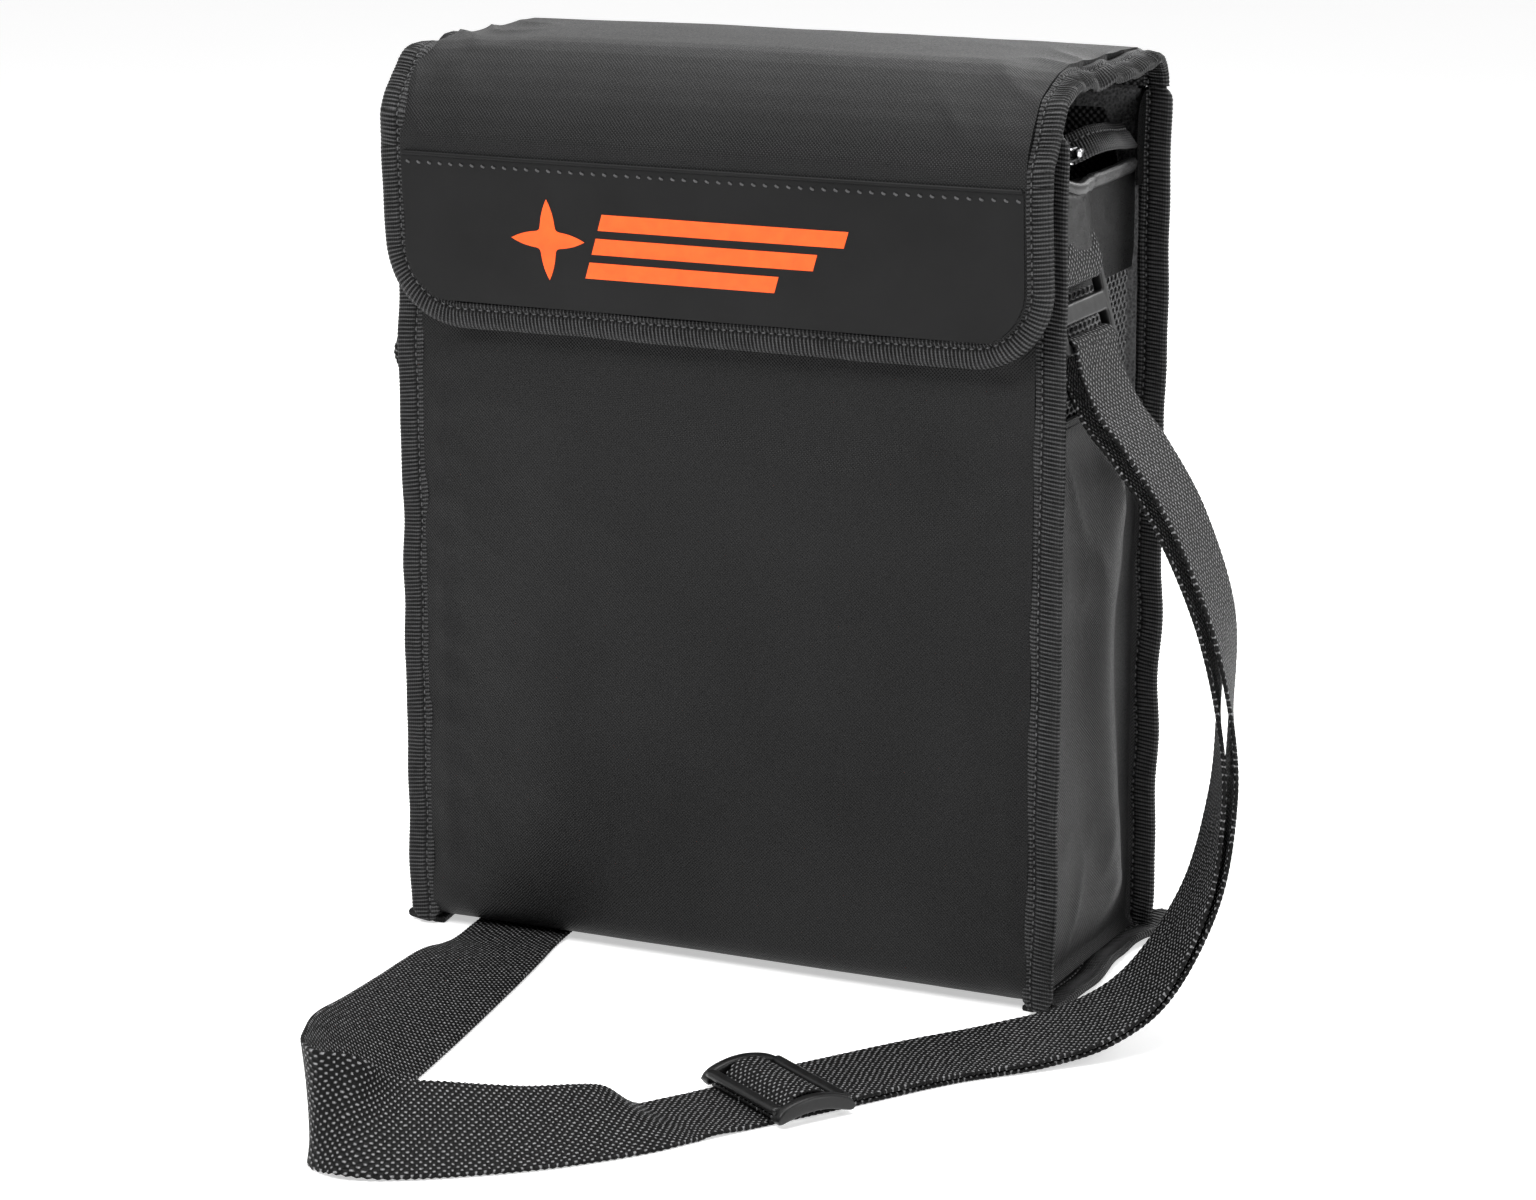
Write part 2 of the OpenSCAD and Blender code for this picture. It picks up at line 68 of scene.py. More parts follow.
AZIMUTH = math.radians(25.04)
ELEVATION = math.radians(13.8)
CAMERA_DISTANCE = 1.537
LENS = 98.06
FLOOR_HALF = 40
CAMERA_AIM = Vector((-0.0051, 0.006, 0.1256))


def look_along(thing, place, direction):
    """Puts a camera or lamp at a place, looking in a direction."""
    thing.location = place
    thing.rotation_mode = "QUATERNION"
    thing.rotation_quaternion = direction.to_track_quat("-Z", "Y")
    scene.collection.objects.link(thing)


def make_camera():
    level = math.cos(ELEVATION)
    back = Vector((math.sin(AZIMUTH) * level, -math.cos(AZIMUTH) * level, math.sin(ELEVATION)))
    data = bpy.data.cameras.new("camera")
    data.lens = LENS
    data.sensor_width = 36
    camera = bpy.data.objects.new("camera", data)
    look_along(camera, CAMERA_AIM + back * CAMERA_DISTANCE, -back)
    scene.camera = camera


def area_light(name, place, target, size, power):
    data = bpy.data.lights.new(name, "AREA")
    data.shape = "RECTANGLE"
    data.size, data.size_y = size
    data.energy = power
    look_along(bpy.data.objects.new(name, data), place, Vector(target) - Vector(place))


def make_lights():
    middle = (0, 0, 0.18)
    area_light("key_light", (-0.35, -1.15, 1.45), middle, (1.1, 0.8), 30)
    area_light("top_light", (0.1, 0.1, 1.5), middle, (1.2, 0.9), 20)
    area_light("side_light", (1.35, -0.25, 0.6), middle, (0.35, 1.0), 9)
    area_light("back_light", (0.3, 1.3, 0.9), middle, (1.2, 0.8), 10)
    world = bpy.data.worlds.new("studio")
    world.use_nodes = True
    tree = world.node_tree
    backdrop = tree.nodes["Background"]
    backdrop.inputs["Color"].default_value = (1, 1, 1, 1)
    where = tree.nodes.new("ShaderNodeTexCoord")
    facing = tree.nodes.new("ShaderNodeVectorMath")
    facing.operation = "DOT_PRODUCT"
    facing.inputs[1].default_value = (-math.sin(AZIMUTH), math.cos(AZIMUTH), 0)
    level = tree.nodes.new("ShaderNodeMapRange")
    level.interpolation_type = "SMOOTHSTEP"
    for socket, number in zip(level.inputs[1:5], (-0.3, 0.5, 0.12, 1.0)):
        socket.default_value = number
    tree.links.new(where.outputs["Generated"], facing.inputs[0])
    tree.links.new(facing.outputs["Value"], level.inputs[0])
    tree.links.new(level.outputs[0], backdrop.inputs["Strength"])
    scene.world = world
    scene.view_settings.view_transform = "Standard"


# ---------------------------------------------------------------- materials


class Shader:
    """One material's nodes, with short calls for the kinds used here."""

    def __init__(self, name, rough=0.5, specular=0.5, metallic=0.0, sheen=0.0):
        self.material = bpy.data.materials.new(name)
        self.material.use_nodes = True
        self.tree = self.material.node_tree
        self.surface = self.tree.nodes["Principled BSDF"]
        self.surface.inputs["Roughness"].default_value = rough
        self.surface.inputs["Specular IOR Level"].default_value = specular
        self.surface.inputs["Metallic"].default_value = metallic
        self.surface.inputs["Sheen Weight"].default_value = sheen

    def node(self, kind, **settings):
        made = self.tree.nodes.new("ShaderNode" + kind)
        for key, value in settings.items():
            setattr(made, key, value)
        return made

    def put(self, value, socket):
        if isinstance(value, bpy.types.NodeSocket):
            self.tree.links.new(value, socket)
        else:
            socket.default_value = value

    def as_colour(self, value):
        return value if isinstance(value, bpy.types.NodeSocket) else (*value, 1)

    def math(self, operation, a, b=0.0):
        made = self.node("Math", operation=operation)
        self.put(a, made.inputs[0])
        self.put(b, made.inputs[1])
        return made.outputs[0]

    def cloth(self):
        """The three numbers stored on the mesh: across and along the cloth in metres, and a mark."""
        read = self.node("Attribute", attribute_name="cloth")
        split = self.node("SeparateXYZ")
        self.tree.links.new(read.outputs["Vector"], split.inputs[0])
        return split.outputs

    def wave(self, value, pitch, turn=0.0):
        angle = self.math("MULTIPLY_ADD", value, math.tau / pitch)
        angle.node.inputs[2].default_value = turn
        return self.math("SINE", angle)

    def place(self):
        return self.node("TexCoord").outputs["Object"]

    def noise(self, size, detail=3.0, rough=0.5, stretch=(1, 1, 1), at=None):
        """Noise from 0 to 1 whose grains are about the given size in metres."""
        scaled = self.node("Mapping")
        self.put(self.place() if at is None else at, scaled.inputs["Vector"])
        scaled.inputs["Scale"].default_value = tuple(s / size for s in stretch)
        made = self.node("TexNoise")
        self.tree.links.new(scaled.outputs[0], made.inputs["Vector"])
        made.inputs["Scale"].default_value = 1.0
        made.inputs["Detail"].default_value = detail
        made.inputs["Roughness"].default_value = rough
        return made.outputs["Fac"]

    def spread(self, value, low, high, to_low=0.0, to_high=1.0):
        made = self.node("MapRange")
        for socket, number in zip(made.inputs[:5], (value, low, high, to_low, to_high)):
            self.put(number, socket)
        return made.outputs[0]

    def blend(self, factor, first, second):
        made = self.node("Mix", data_type="RGBA")
        self.put(factor, made.inputs["Factor"])
        self.put(self.as_colour(first), made.inputs[6])
        self.put(self.as_colour(second), made.inputs[7])
        return made.outputs[2]

    def bump(self, height, depth, strength=1.0, over=None):
        """Bump whose full height is depth metres."""
        made = self.node("Bump")
        made.inputs["Strength"].default_value = strength
        made.inputs["Distance"].default_value = depth
        self.put(height, made.inputs["Height"])
        if over is not None:
            self.tree.links.new(over, made.inputs["Normal"])
        return made.outputs[0]

    def finish(self, colour, normal=None, rough=None):
        self.put(self.as_colour(colour), self.surface.inputs["Base Color"])
        if normal is not None:
            self.tree.links.new(normal, self.surface.inputs["Normal"])
        if rough is not None:
            self.tree.links.new(rough, self.surface.inputs["Roughness"])
        return self.material


def grey(value):
    return (value, value, value * 1.02)


def woven_nylon(name, dark, light, pitch, rough, depth, specular=0.22):
    """Fine plain weave: small bumps in a checker, with threads of slightly different shade."""
    s = Shader(name, rough=rough, specular=specular)
    across, along, _ = s.cloth()
    weave = s.math("MULTIPLY", s.wave(across, pitch), s.wave(along, pitch))
    grain = s.noise(0.0009, 2.0, 0.7)
    cloudy = s.noise(0.05, 3.0)
    uneven = s.math("ADD", s.math("MULTIPLY", grain, 0.6), s.math("MULTIPLY", cloudy, 0.5))
    shade = s.math("ADD", s.math("MULTIPLY", weave, 0.3), uneven)
    colour = s.blend(s.spread(shade, 0.15, 0.95), grey(dark), grey(light))
    creases = s.bump(s.noise(0.03, 1.0, 0.5), 0.0012, 0.4)
    normal = s.bump(weave, depth, 0.9, over=creases)
    return s.finish(colour, normal, s.spread(grain, 0.3, 0.7, rough - 0.06, rough + 0.1))


# Where the groove of the seam runs on a binding tape, from the middle of the tape; the tape's colour is
# darkened there as painted shade.
GROOVE_OFF = -0.00194


def ribbed_tape(name, dark, light, pitch, rough=0.5, painted_groove_shade=True):
    """Grosgrain: ribs across the tape, each rib of short threads, their colour following their height as
    painted highlight on the crowns and painted shade in the hollows between; where asked, painted shade
    darkens the tape along the seam's groove.
    """
    s = Shader(name, rough=rough, specular=0.2)
    across, along, _ = s.cloth()
    slant = s.math("ADD", along, s.math("MULTIPLY", across, 0.12))
    rib = s.wave(slant, pitch, math.pi / 2)
    thread = s.wave(across, 0.0009)
    worn = s.noise(0.004, 3.0, 0.6)
    height = s.math("ADD", rib, s.math("MULTIPLY", thread, 0.25))
    # Painted light: the rib height sets the colour, lighter crowns as painted highlight and darker hollows as
    # painted shade, with random noise on top.
    shade = s.math("ADD", height, s.math("MULTIPLY", worn, 1.1))
    level = s.spread(shade, 0.0, 2.1)
    # Painted shade: the colour is darkened along the seam's groove.
    if painted_groove_shade:
        off = s.math("ABSOLUTE", s.math("SUBTRACT", across, GROOVE_OFF))
        level = s.math("MULTIPLY", level, s.spread(off, 0.0002, 0.0009, 0.1, 1.0))
    colour = s.blend(level, grey(dark), grey(light))
    return s.finish(colour, s.bump(height, 0.0004, 0.9))


def webbing_cloth(name):
    """Heavy webbing: rows of short floats, each row half a step behind the last, light on near black."""
    s = Shader(name, rough=0.6, specular=0.15)
    across, along, _ = s.cloth()
    row_w, float_length = 0.00127, 0.0027
    row = s.math("DIVIDE", across, row_w)
    number = s.math("FLOOR", row)
    inside = s.math("FRACT", row)
    swing = s.math("PINGPONG", number, 7.0)
    step = s.math("ADD", s.math("MULTIPLY", number, 0.5), s.math("MULTIPLY", swing, 0.03))
    turn = s.math("ADD", s.math("DIVIDE", along, float_length), step)
    turn = s.math("ADD", turn, s.math("MULTIPLY", s.noise(0.0028, 2.0, 0.6), 0.7))
    float_up = s.math("SINE", s.math("MULTIPLY", turn, math.tau))
    crown = s.math("SINE", s.math("MULTIPLY", inside, math.pi))
    dot = s.math("MULTIPLY", s.math("MAXIMUM", float_up, 0.0), crown)
    wavy = s.math("MULTIPLY", float_up, crown)
    height = s.math("ADD", s.math("MULTIPLY", wavy, 0.5), s.math("MULTIPLY", dot, 0.5))
    fuzz = s.noise(0.0009, 2.0, 0.6)
    shade = s.math("MULTIPLY", s.math("POWER", dot, 1.6), s.math("ADD", fuzz, 0.45))
    colour = s.blend(s.spread(shade, 0.12, 0.85), grey(0.0015), grey(0.23))
    return s.finish(colour, s.bump(height, 0.0005, 0.9))


def smooth_vinyl(name):
    s = Shader(name, rough=0.5, specular=0.14)
    pores = s.noise(0.0007, 3.0, 0.6)
    cloudy = s.noise(0.03, 3.0)
    colour = s.blend(s.spread(cloudy, 0.3, 0.7), grey(0.006), grey(0.009))
    normal = s.bump(pores, 0.00006, 0.5)
    return s.finish(colour, normal, s.spread(cloudy, 0.2, 0.8, 0.46, 0.56))


def moulded_plastic(name):
    s = Shader(name, rough=0.4, specular=0.28)
    grain = s.noise(0.0005, 2.0)
    rubbed = s.noise(0.006, 4.0, 0.65)
    colour = s.blend(s.spread(rubbed, 0.4, 0.75), grey(0.005), grey(0.009))
    return s.finish(colour, s.bump(grain, 0.00005, 0.5), s.spread(rubbed, 0.3, 0.8, 0.32, 0.5))


def bare_metal(name):
    s = Shader(name, rough=0.3, metallic=1.0)
    scratched = s.noise(0.003, 5.0, 0.7, stretch=(1, 6, 1))
    colour = s.blend(scratched, (0.42, 0.42, 0.43), (0.72, 0.72, 0.73))
    return s.finish(colour, s.bump(scratched, 0.00004, 0.6), s.spread(scratched, 0.2, 0.8, 0.2, 0.42))


def open_foam(name):
    s = Shader(name, rough=0.9, specular=0.2)
    cells = s.node("TexVoronoi")
    cells.inputs["Scale"].default_value = 900.0
    s.put(s.place(), cells.inputs["Vector"])
    colour = s.blend(cells.outputs["Distance"], grey(0.02), grey(0.07))
    return s.finish(colour, s.bump(cells.outputs["Distance"], 0.0006, 0.8))


def fibre_board(name):
    s = Shader(name, rough=0.85, specular=0.2)
    fibres = s.noise(0.004, 4.0, 0.7, stretch=(1, 8, 1))
    colour = s.blend(fibres, (0.12, 0.08, 0.045), (0.3, 0.22, 0.13))
    return s.finish(colour, s.bump(fibres, 0.0002, 0.5))


def hook_or_loop(name):
    s = Shader(name, rough=0.8, specular=0.25, sheen=0.4)
    fuzz = s.noise(0.0008, 4.0, 0.75)
    patchy = s.noise(0.008, 3.0)
    colour = s.blend(s.spread(s.math("MULTIPLY", fuzz, patchy), 0.1, 0.45), grey(0.008), grey(0.05))
    return s.finish(colour, s.bump(fuzz, 0.0006, 0.9))


def coarse_netting(name):
    s = Shader(name, rough=0.55, specular=0.45)
    strands = s.noise(0.0007, 3.0, 0.6)
    colour = s.blend(s.spread(strands, 0.3, 0.75), grey(0.01), grey(0.17))
    return s.finish(colour, s.bump(strands, 0.0002, 0.6))


def sewing_thread(name):
    s = Shader(name, rough=0.6, specular=0.35)
    twist = s.noise(0.0006, 2.0)
    colour = s.blend(twist, grey(0.02), grey(0.12))
    return s.finish(colour, s.bump(twist, 0.0001, 0.5))


def printed_ink(name):
    s = Shader(name, rough=0.45, specular=0.4)
    uneven = s.noise(0.004, 3.0)
    colour = s.blend(s.spread(uneven, 0.3, 0.7), (0.93, 0.085, 0.002), (1.0, 0.105, 0.004))
    return s.finish(colour, s.bump(s.noise(0.0008, 2.0), 0.00003, 0.4))


def studio_floor(name):
    s = Shader(name, rough=0.8, specular=0.1)
    soft = s.noise(0.4, 2.0)
    s.surface.inputs["Emission Color"].default_value = (1, 1, 1, 1)
    s.surface.inputs["Emission Strength"].default_value = 0.5
    return s.finish(s.blend(soft, (0.78, 0.78, 0.78), (0.8, 0.8, 0.8)))


FINISHES = {
    "nylon": woven_nylon("nylon_weave", 0.003, 0.014, 0.0013, 0.42, 0.0001, 0.15),
    "plain_nylon": woven_nylon("plain_nylon_weave", 0.0025, 0.005, 0.0008, 0.3, 0.00005, 0.13),
    "lining_cloth": woven_nylon("lining_weave", 0.003, 0.035, 0.0028, 0.62, 0.0005, 0.15),
    "grosgrain": ribbed_tape("ribbed_binding", 0.002, 0.085, 0.00145),
    "zip_tape": ribbed_tape("zip_cloth", 0.006, 0.07, 0.0011, painted_groove_shade=False),
    "webbing": webbing_cloth("strap_webbing"),
    "vinyl": smooth_vinyl("smooth_vinyl"),
    "moulded_plastic": moulded_plastic("black_plastic"),
    "metal": bare_metal("zip_metal"),
    "foam": open_foam("open_foam"),
    "board": fibre_board("fibre_board"),
    "hook_and_loop": hook_or_loop("hook_and_loop"),
    "mesh": coarse_netting("netting_cord"),
}
THREAD = sewing_thread("sewing_thread")
HEM = woven_nylon("shiny_hem", 0.006, 0.014, 0.0008, 0.3, 0.00004, 0.7)
INK = printed_ink("orange_print")


# ---------------------------------------------------------------- numbers and meshes


def unit(v):
    return v / np.maximum(np.linalg.norm(v, axis=-1, keepdims=True), 1e-12)


def smoothstep(t):
    t = np.clip(t, 0, 1)
    return t * t * (3 - 2 * t)


def window(value, low, high, soft):
    """1 between low and high, falling to 0 at them over the length soft."""
    return smoothstep((value - low) / soft) * smoothstep((high - value) / soft)


def ripples(x, y, size, seed):
    """Smooth uneven waves of about the given size, from -1 to 1."""
    rng = np.random.default_rng(seed)
    total = 0
    for _ in range(7):
        direction = rng.uniform(0, math.tau)
        pitch = size * rng.uniform(0.7, 1.8)
        phase = rng.uniform(0, math.tau)
        total = total + np.sin(math.tau / pitch * (x * math.cos(direction) + y * math.sin(direction)) + phase)
    return total / 7


def creases(x, y, size, seed):
    """Sharper folds than ripples, from 0 to 1."""
    bent = ripples(x, y, size, seed) + 0.5 * ripples(y, x, size * 0.5, seed + 1)
    return (1 - np.abs(bent)).clip(0, 1) ** 3


def add_piece(name, mesh, finish):
    """Smooth object of a mesh. finish is a slot's name, or a material."""
    mesh.polygons.foreach_set("use_smooth", [True] * len(mesh.polygons))
    piece = bpy.data.objects.new(name, mesh)
    scene.collection.objects.link(piece)
    if isinstance(finish, str):
        mesh.materials.append(FINISHES[finish])
    else:
        mesh.materials.append(finish)
    return piece


def turn_outwards(mesh, work):
    """Writes a bmesh into a mesh with its faces turned outwards."""
    bmesh.ops.recalc_face_normals(work, faces=work.faces)
    work.to_mesh(mesh)
    work.free()


def mesh_piece(name, work, finish):
    mesh = bpy.data.meshes.new(name)
    turn_outwards(mesh, work)
    return add_piece(name, mesh, finish)


def add_mesh(name, points, faces, finish, cloth=None, closed=True):
    """A piece from points and faces. cloth has the three numbers that the materials read at each point."""
    mesh = bpy.data.meshes.new(name)
    mesh.from_pydata(np.asarray(points, float).reshape(-1, 3).tolist(), [], faces)
    if cloth is not None:
        stored = mesh.attributes.new("cloth", "FLOAT_VECTOR", "POINT")
        stored.data.foreach_set("vector", np.asarray(cloth, np.float32).ravel())
    if closed:
        work = bmesh.new()
        work.from_mesh(mesh)
        turn_outwards(mesh, work)
    return add_piece(name, mesh, finish)


def settle(piece, body, node):
    """Lets a piece ride on a body in the place of a CAD node."""
    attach(piece, body)
    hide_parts(node)


def as_points(x, y, z):
    """Three arrays or numbers, spread to one shape, as an array of places."""
    return np.stack(np.broadcast_arrays(x, y, z), -1)


def read_at(at, far, rows):
    """Rows read off at distances along a line whose own rows lie at the distances far."""
    return np.stack([np.interp(at, far, column) for column in rows.T], -1)


def square_to(across, tangent):
    """Directions across a line, made square to its tangents."""
    return unit(across - np.sum(across * tangent, axis=1, keepdims=True) * tangent)


def circle(count):
    """Points round a circle of radius 1."""
    spin = np.linspace(0, math.tau, count, endpoint=False)
    return np.stack([np.cos(spin), np.sin(spin)], -1)


def grid_faces(rows, columns, first=0, wrap=False):
    """Four-sided faces of a grid of points whose columns may close into a ring."""
    i, j = np.meshgrid(np.arange(rows - 1), np.arange(columns if wrap else columns - 1), indexing="ij")
    k = (j + 1) % columns
    near, far = i * columns, (i + 1) * columns
    return np.stack([near + j, near + k, far + k, far + j], -1).reshape(-1, 4) + first


def shell(name, outer, thick, cloth, finish, inward):
    """Closed cloth solid: the given grid of points and a copy of it set back by thick towards inward."""
    normal = unit(np.cross(np.gradient(outer, axis=0), np.gradient(outer, axis=1)))
    if np.sum(normal * (np.asarray(inward) - outer)) < 0:
        normal = -normal
    inner = outer + normal * (thick if np.isscalar(thick) else thick[..., None])
    rows, columns = outer.shape[:2]
    count = rows * columns
    top, bottom = grid_faces(rows, columns), grid_faces(rows, columns, count)[:, ::-1]
    ring = np.concatenate([
        np.arange(columns - 1),
        np.arange(rows - 1) * columns + columns - 1,
        (rows - 1) * columns + np.arange(columns - 1, 0, -1),
        np.arange(rows - 1, 0, -1) * columns,
    ])
    after = np.roll(ring, -1)
    rim = np.stack([ring, ring + count, after + count, after], -1)
    marked = np.concatenate([cloth.reshape(-1, 3), cloth.reshape(-1, 3) + (0, 0, 1)])
    points = np.concatenate([outer.reshape(-1, 3), inner.reshape(-1, 3)])
    piece = add_mesh(name, points, np.concatenate([top, bottom, rim]).tolist(), finish, marked)
    piece.data.set_sharp_from_angle(angle=math.radians(62))
    return piece


def sweep(name, centre, across, section, finish, along=None, up=None):
    """Closed solid: a cross-section of (across, up) pairs carried along a row of centres."""
    tangent = unit(np.gradient(centre, axis=0))
    across = square_to(across, tangent)
    up = np.cross(tangent, across) if up is None else up
    section = np.broadcast_to(section, (len(centre), *np.shape(section)[-2:]))
    points = centre[:, None] + section[..., :1] * across[:, None] + section[..., 1:2] * up[:, None]
    rows, columns = points.shape[:2]
    if along is None:
        along = lengths(centre)
    cloth = as_points(section[..., 0], along[:, None], np.sign(section[..., 1]))
    faces = grid_faces(rows, columns, wrap=True).tolist()
    faces.append(list(range(columns))[::-1])
    faces.append([(rows - 1) * columns + j for j in range(columns)])
    return add_mesh(name, points, faces, finish, cloth)


def lengths(points):
    """Distance along a row of points to each of them."""
    steps = np.linalg.norm(np.diff(points[:, :3], axis=0), axis=1)
    return np.concatenate([[0], np.cumsum(steps)])


def smooth_line(rows, step):
    """Evenly spaced rows on the smooth curve through the given ones, which each start with a point."""
    rows = np.asarray(rows, float)
    padded = np.vstack([2 * rows[0] - rows[1], rows, 2 * rows[-1] - rows[-2]])
    t = np.linspace(0, 1, 40, endpoint=False)[:, None]
    parts = []
    for a, b, c, d in zip(padded[:-3], padded[1:-2], padded[2:-1], padded[3:]):
        square, cube = 2 * a - 5 * b + 4 * c - d, 3 * b - a - 3 * c + d
        parts.append(0.5 * (2 * b + (c - a) * t + square * t**2 + cube * t**3))
    fine = np.vstack([*parts, rows[-1:]])
    far = lengths(fine)
    at = np.linspace(0, far[-1], max(int(round(far[-1] / step)) + 1, 4))
    return read_at(at, far, fine)


def rounded_slab(width, thick, points_across=9, points_round=3):
    """Cross-section of a flat strip with round edges."""
    r = thick / 2
    flat = np.linspace(-width / 2 + r, width / 2 - r, points_across)
    turn = np.linspace(math.pi / 2, -math.pi / 2, points_round + 2)[1:-1]
    top = np.stack([flat, np.full_like(flat, r)], -1)
    right = np.stack([width / 2 - r + r * np.cos(turn), r * np.sin(turn)], -1)
    return np.concatenate([top, right, -top, -right])


def scatter(name, template, centre, axes, finish):
    """Copies of a small rod, given as a row of rings, set at the centres and turned to the axes."""
    rings, around = template.shape[:2]
    points = centre[:, None] + np.einsum("pk,nkc->npc", template.reshape(-1, 3), axes)
    size = rings * around
    ends = [list(range(around))[::-1], list(range(size - around, size))]
    one = grid_faces(rings, around, wrap=True).tolist() + ends
    faces = [[v + n * size for v in face] for n in range(len(centre)) for face in one]
    return add_mesh(name, points, faces, finish)


def stitches(name, points, along, outward, pitch, length, radius=0.32 * MM):
    """A row of stitches: short threads lying on a seam line, their ends dipping into the cloth."""
    far = lengths(points)
    at = np.arange(pitch / 2, far[-1], pitch)
    direction, lift = unit(read_at(at, far, along)), unit(read_at(at, far, outward))
    t = np.linspace(-1, 1, 6)[:, None]
    thin = radius * np.sqrt(np.maximum(1 - t**4, 0.05))
    rise = radius * (0.9 - 2.2 * t**2)
    round_x, round_y = circle(6).T
    thread = as_points(t * length / 2, thin * round_x, rise + thin * round_y)
    axes = np.stack([direction, np.cross(direction, lift), lift], 1)
    piece = scatter(name, thread, read_at(at, far, points), axes, THREAD)
    return piece


def box(node):
    """Lowest and highest corner of a CAD node as numpy rows."""
    low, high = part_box(node)
    return np.array(low), np.array(high)


def joint(name):
    return next(j for j in frame["joints"] if j["name"] == name)


# ---------------------------------------------------------------- shoulder strap

STRAP_W = 38 * MM
STRAP_T = 1.6 * MM
LIE = STRAP_T / 2 + 0.2 * MM
PAIR_LIE = LIE + 0.95 * MM
SLIDER_AT = np.array([76, -160, 0]) * MM
SLIDER_ANGLE = math.radians(57)
RUN = np.array([math.cos(SLIDER_ANGLE), math.sin(SLIDER_ANGLE), 0])
ACROSS = np.array([-math.sin(SLIDER_ANGLE), math.cos(SLIDER_ANGLE), 0])
RING_LEAN = math.radians(14)


def on_slider(distance, height):
    """Point on the floor strap at a distance from the slider's middle, in millimetres."""
    return list((SLIDER_AT + distance * MM * RUN) / MM + [0, 0, height / MM])


# Doubled strap from the right ring to the slider, in millimetres: point between the layers, direction
# across the strap, half the distance between the layers.
PAIR_ROUTE = [
    [126.63, -17, 235.23, 0, 1, 0, 3],
    [129.5, -17, 224, 0, 1, 0, 3.1],
    [136.5, -17, 211, 0, 1, 0, 3],
    [147.5, -17, 198, 0, 1, 0, 2.8],
    [162.5, -17, 175, -0.04, 1, -0.01, 2.6],
    [176, -18, 142, -0.13, 0.99, -0.03, 2.4],
    [181, -20, 107, -0.34, 0.93, -0.08, 2.2],
    [182, -24, 80, -0.44, 0.89, -0.13, 2],
    [178, -33, 48.5, -0.55, 0.82, -0.15, 1.6],
    [166, -49, 20.5, -0.66, 0.75, -0.08, 1.2],
    [151, -66, 8, -0.73, 0.68, -0.02, 1],
    [132, -85, 3.4, -0.81, 0.59, 0.02, 0.95],
    [*on_slider(60, PAIR_LIE), *ACROSS, 0.95],
    [*on_slider(20, PAIR_LIE), *ACROSS, 0.95],
    [*on_slider(0, PAIR_LIE), *ACROSS, 0.95],
]

# Single strap from the slider round to the left ring, in millimetres: centre point, direction across.
SINGLE_ROUTE = [
    [*on_slider(-20, LIE), *ACROSS],
    [*on_slider(-42, LIE), *ACROSS],
    [43, -213.5, 6.3, -0.66, 0.69, 0.28],
    [25, -234.5, 8.4, -0.58, 0.71, 0.39],
    [6, -251.5, 10.6, -0.5, 0.69, 0.51],
    [-12, -264.5, 12.6, -0.4, 0.66, 0.62],
    [-24, -272, 17.4, -0.14, 0.44, 0.88],
    [-33, -273.5, 19.1, -0.04, 0.12, 0.98],
    [-39.5, -266, 19.2, -0.12, 0.02, 0.99],
    [-43.5, -251, 18.6, -0.3, -0.03, 0.95],
    [-49, -228, 16.6, -0.55, -0.05, 0.83],
    [-57, -192, 12.4, -0.8, -0.05, 0.6],
    [-65, -150, 9.2, -0.9, -0.1, 0.43],
    [-74, -102, 6.2, -0.95, -0.15, 0.27],
    [-80, -72, 2.7, -0.98, -0.17, 0.08],
    [-84, -52, 1, -0.98, -0.16, 0],
    [-89, -12, 1, -0.99, -0.1, 0],
    [-93, 32, 1, -1, -0.08, 0],
    [-96, 64, 1.3, -1, -0.08, 0],
    [-98, 84, 4.6, -1, -0.08, 0],
    [-101, 98, 16, -1, -0.05, -0.05],
    [-105, 104, 40, -0.98, 0, -0.18],
    [-112, 103, 66, -0.94, 0, -0.33],
    [-124, 96, 94, -0.84, -0.08, -0.5],
    [-138, 82, 122, -0.66, -0.37, -0.64],
    [-147, 60, 149, -0.27, -0.6, -0.75],
    [-149.5, 34, 174, -0.02, -0.72, -0.7],
    [-146, 8, 197, 0, -0.84, -0.52],
    [-138, -9, 217, 0, -0.97, -0.2],
    [-132.3, -17, 227, 0, -1, 0],
    [-129.46, -17, 235.95, 0, -1, 0],
]
TAIL_ROUTE = [
    [-123.75, -17, 234.52, 0, 1, 0],
    [-125.8, -17, 226, 0, 1, 0],
    [-130.2, -15.5, 214, 0, 1, 0.1],
    [-137.2, -5, 199, 0, 0.95, 0.3],
]


def strap_layer(side):
    """One layer of the doubled strap, set off to one side of the points between the layers."""
    rows = np.array(PAIR_ROUTE, float)
    points = rows[:, :3]
    heading = unit(np.gradient(points, axis=0))
    heading[0] = (math.sin(RING_LEAN), 0, -math.cos(RING_LEAN))
    away = np.cross(heading, square_to(rows[:, 3:6], heading))
    return np.hstack([points + side * rows[:, 6:] * away, rows[:, 3:6]])


def webbing_section(along):
    """Cross-section of the webbing along its length: slightly crowned, its edges scalloped by the weave."""
    base = rounded_slab(STRAP_W, STRAP_T, 15, 3)
    section = np.repeat(base[None], len(along), axis=0)
    edge = np.abs(base[:, 0]) / (STRAP_W / 2)
    weave_pitch = 2.4 * MM
    scallop = 0.28 * MM * np.cos(math.tau * along / weave_pitch)
    section[..., 0] += np.sign(base[:, 0]) * smoothstep((edge - 0.9) / 0.1) * scallop[:, None]
    rib = 0.06 * MM * np.sin(math.tau * along[:, None] / weave_pitch + math.pi * np.arange(len(base)))
    section[..., 1] += np.sign(base[:, 1]) * rib * (edge < 0.97)
    return section


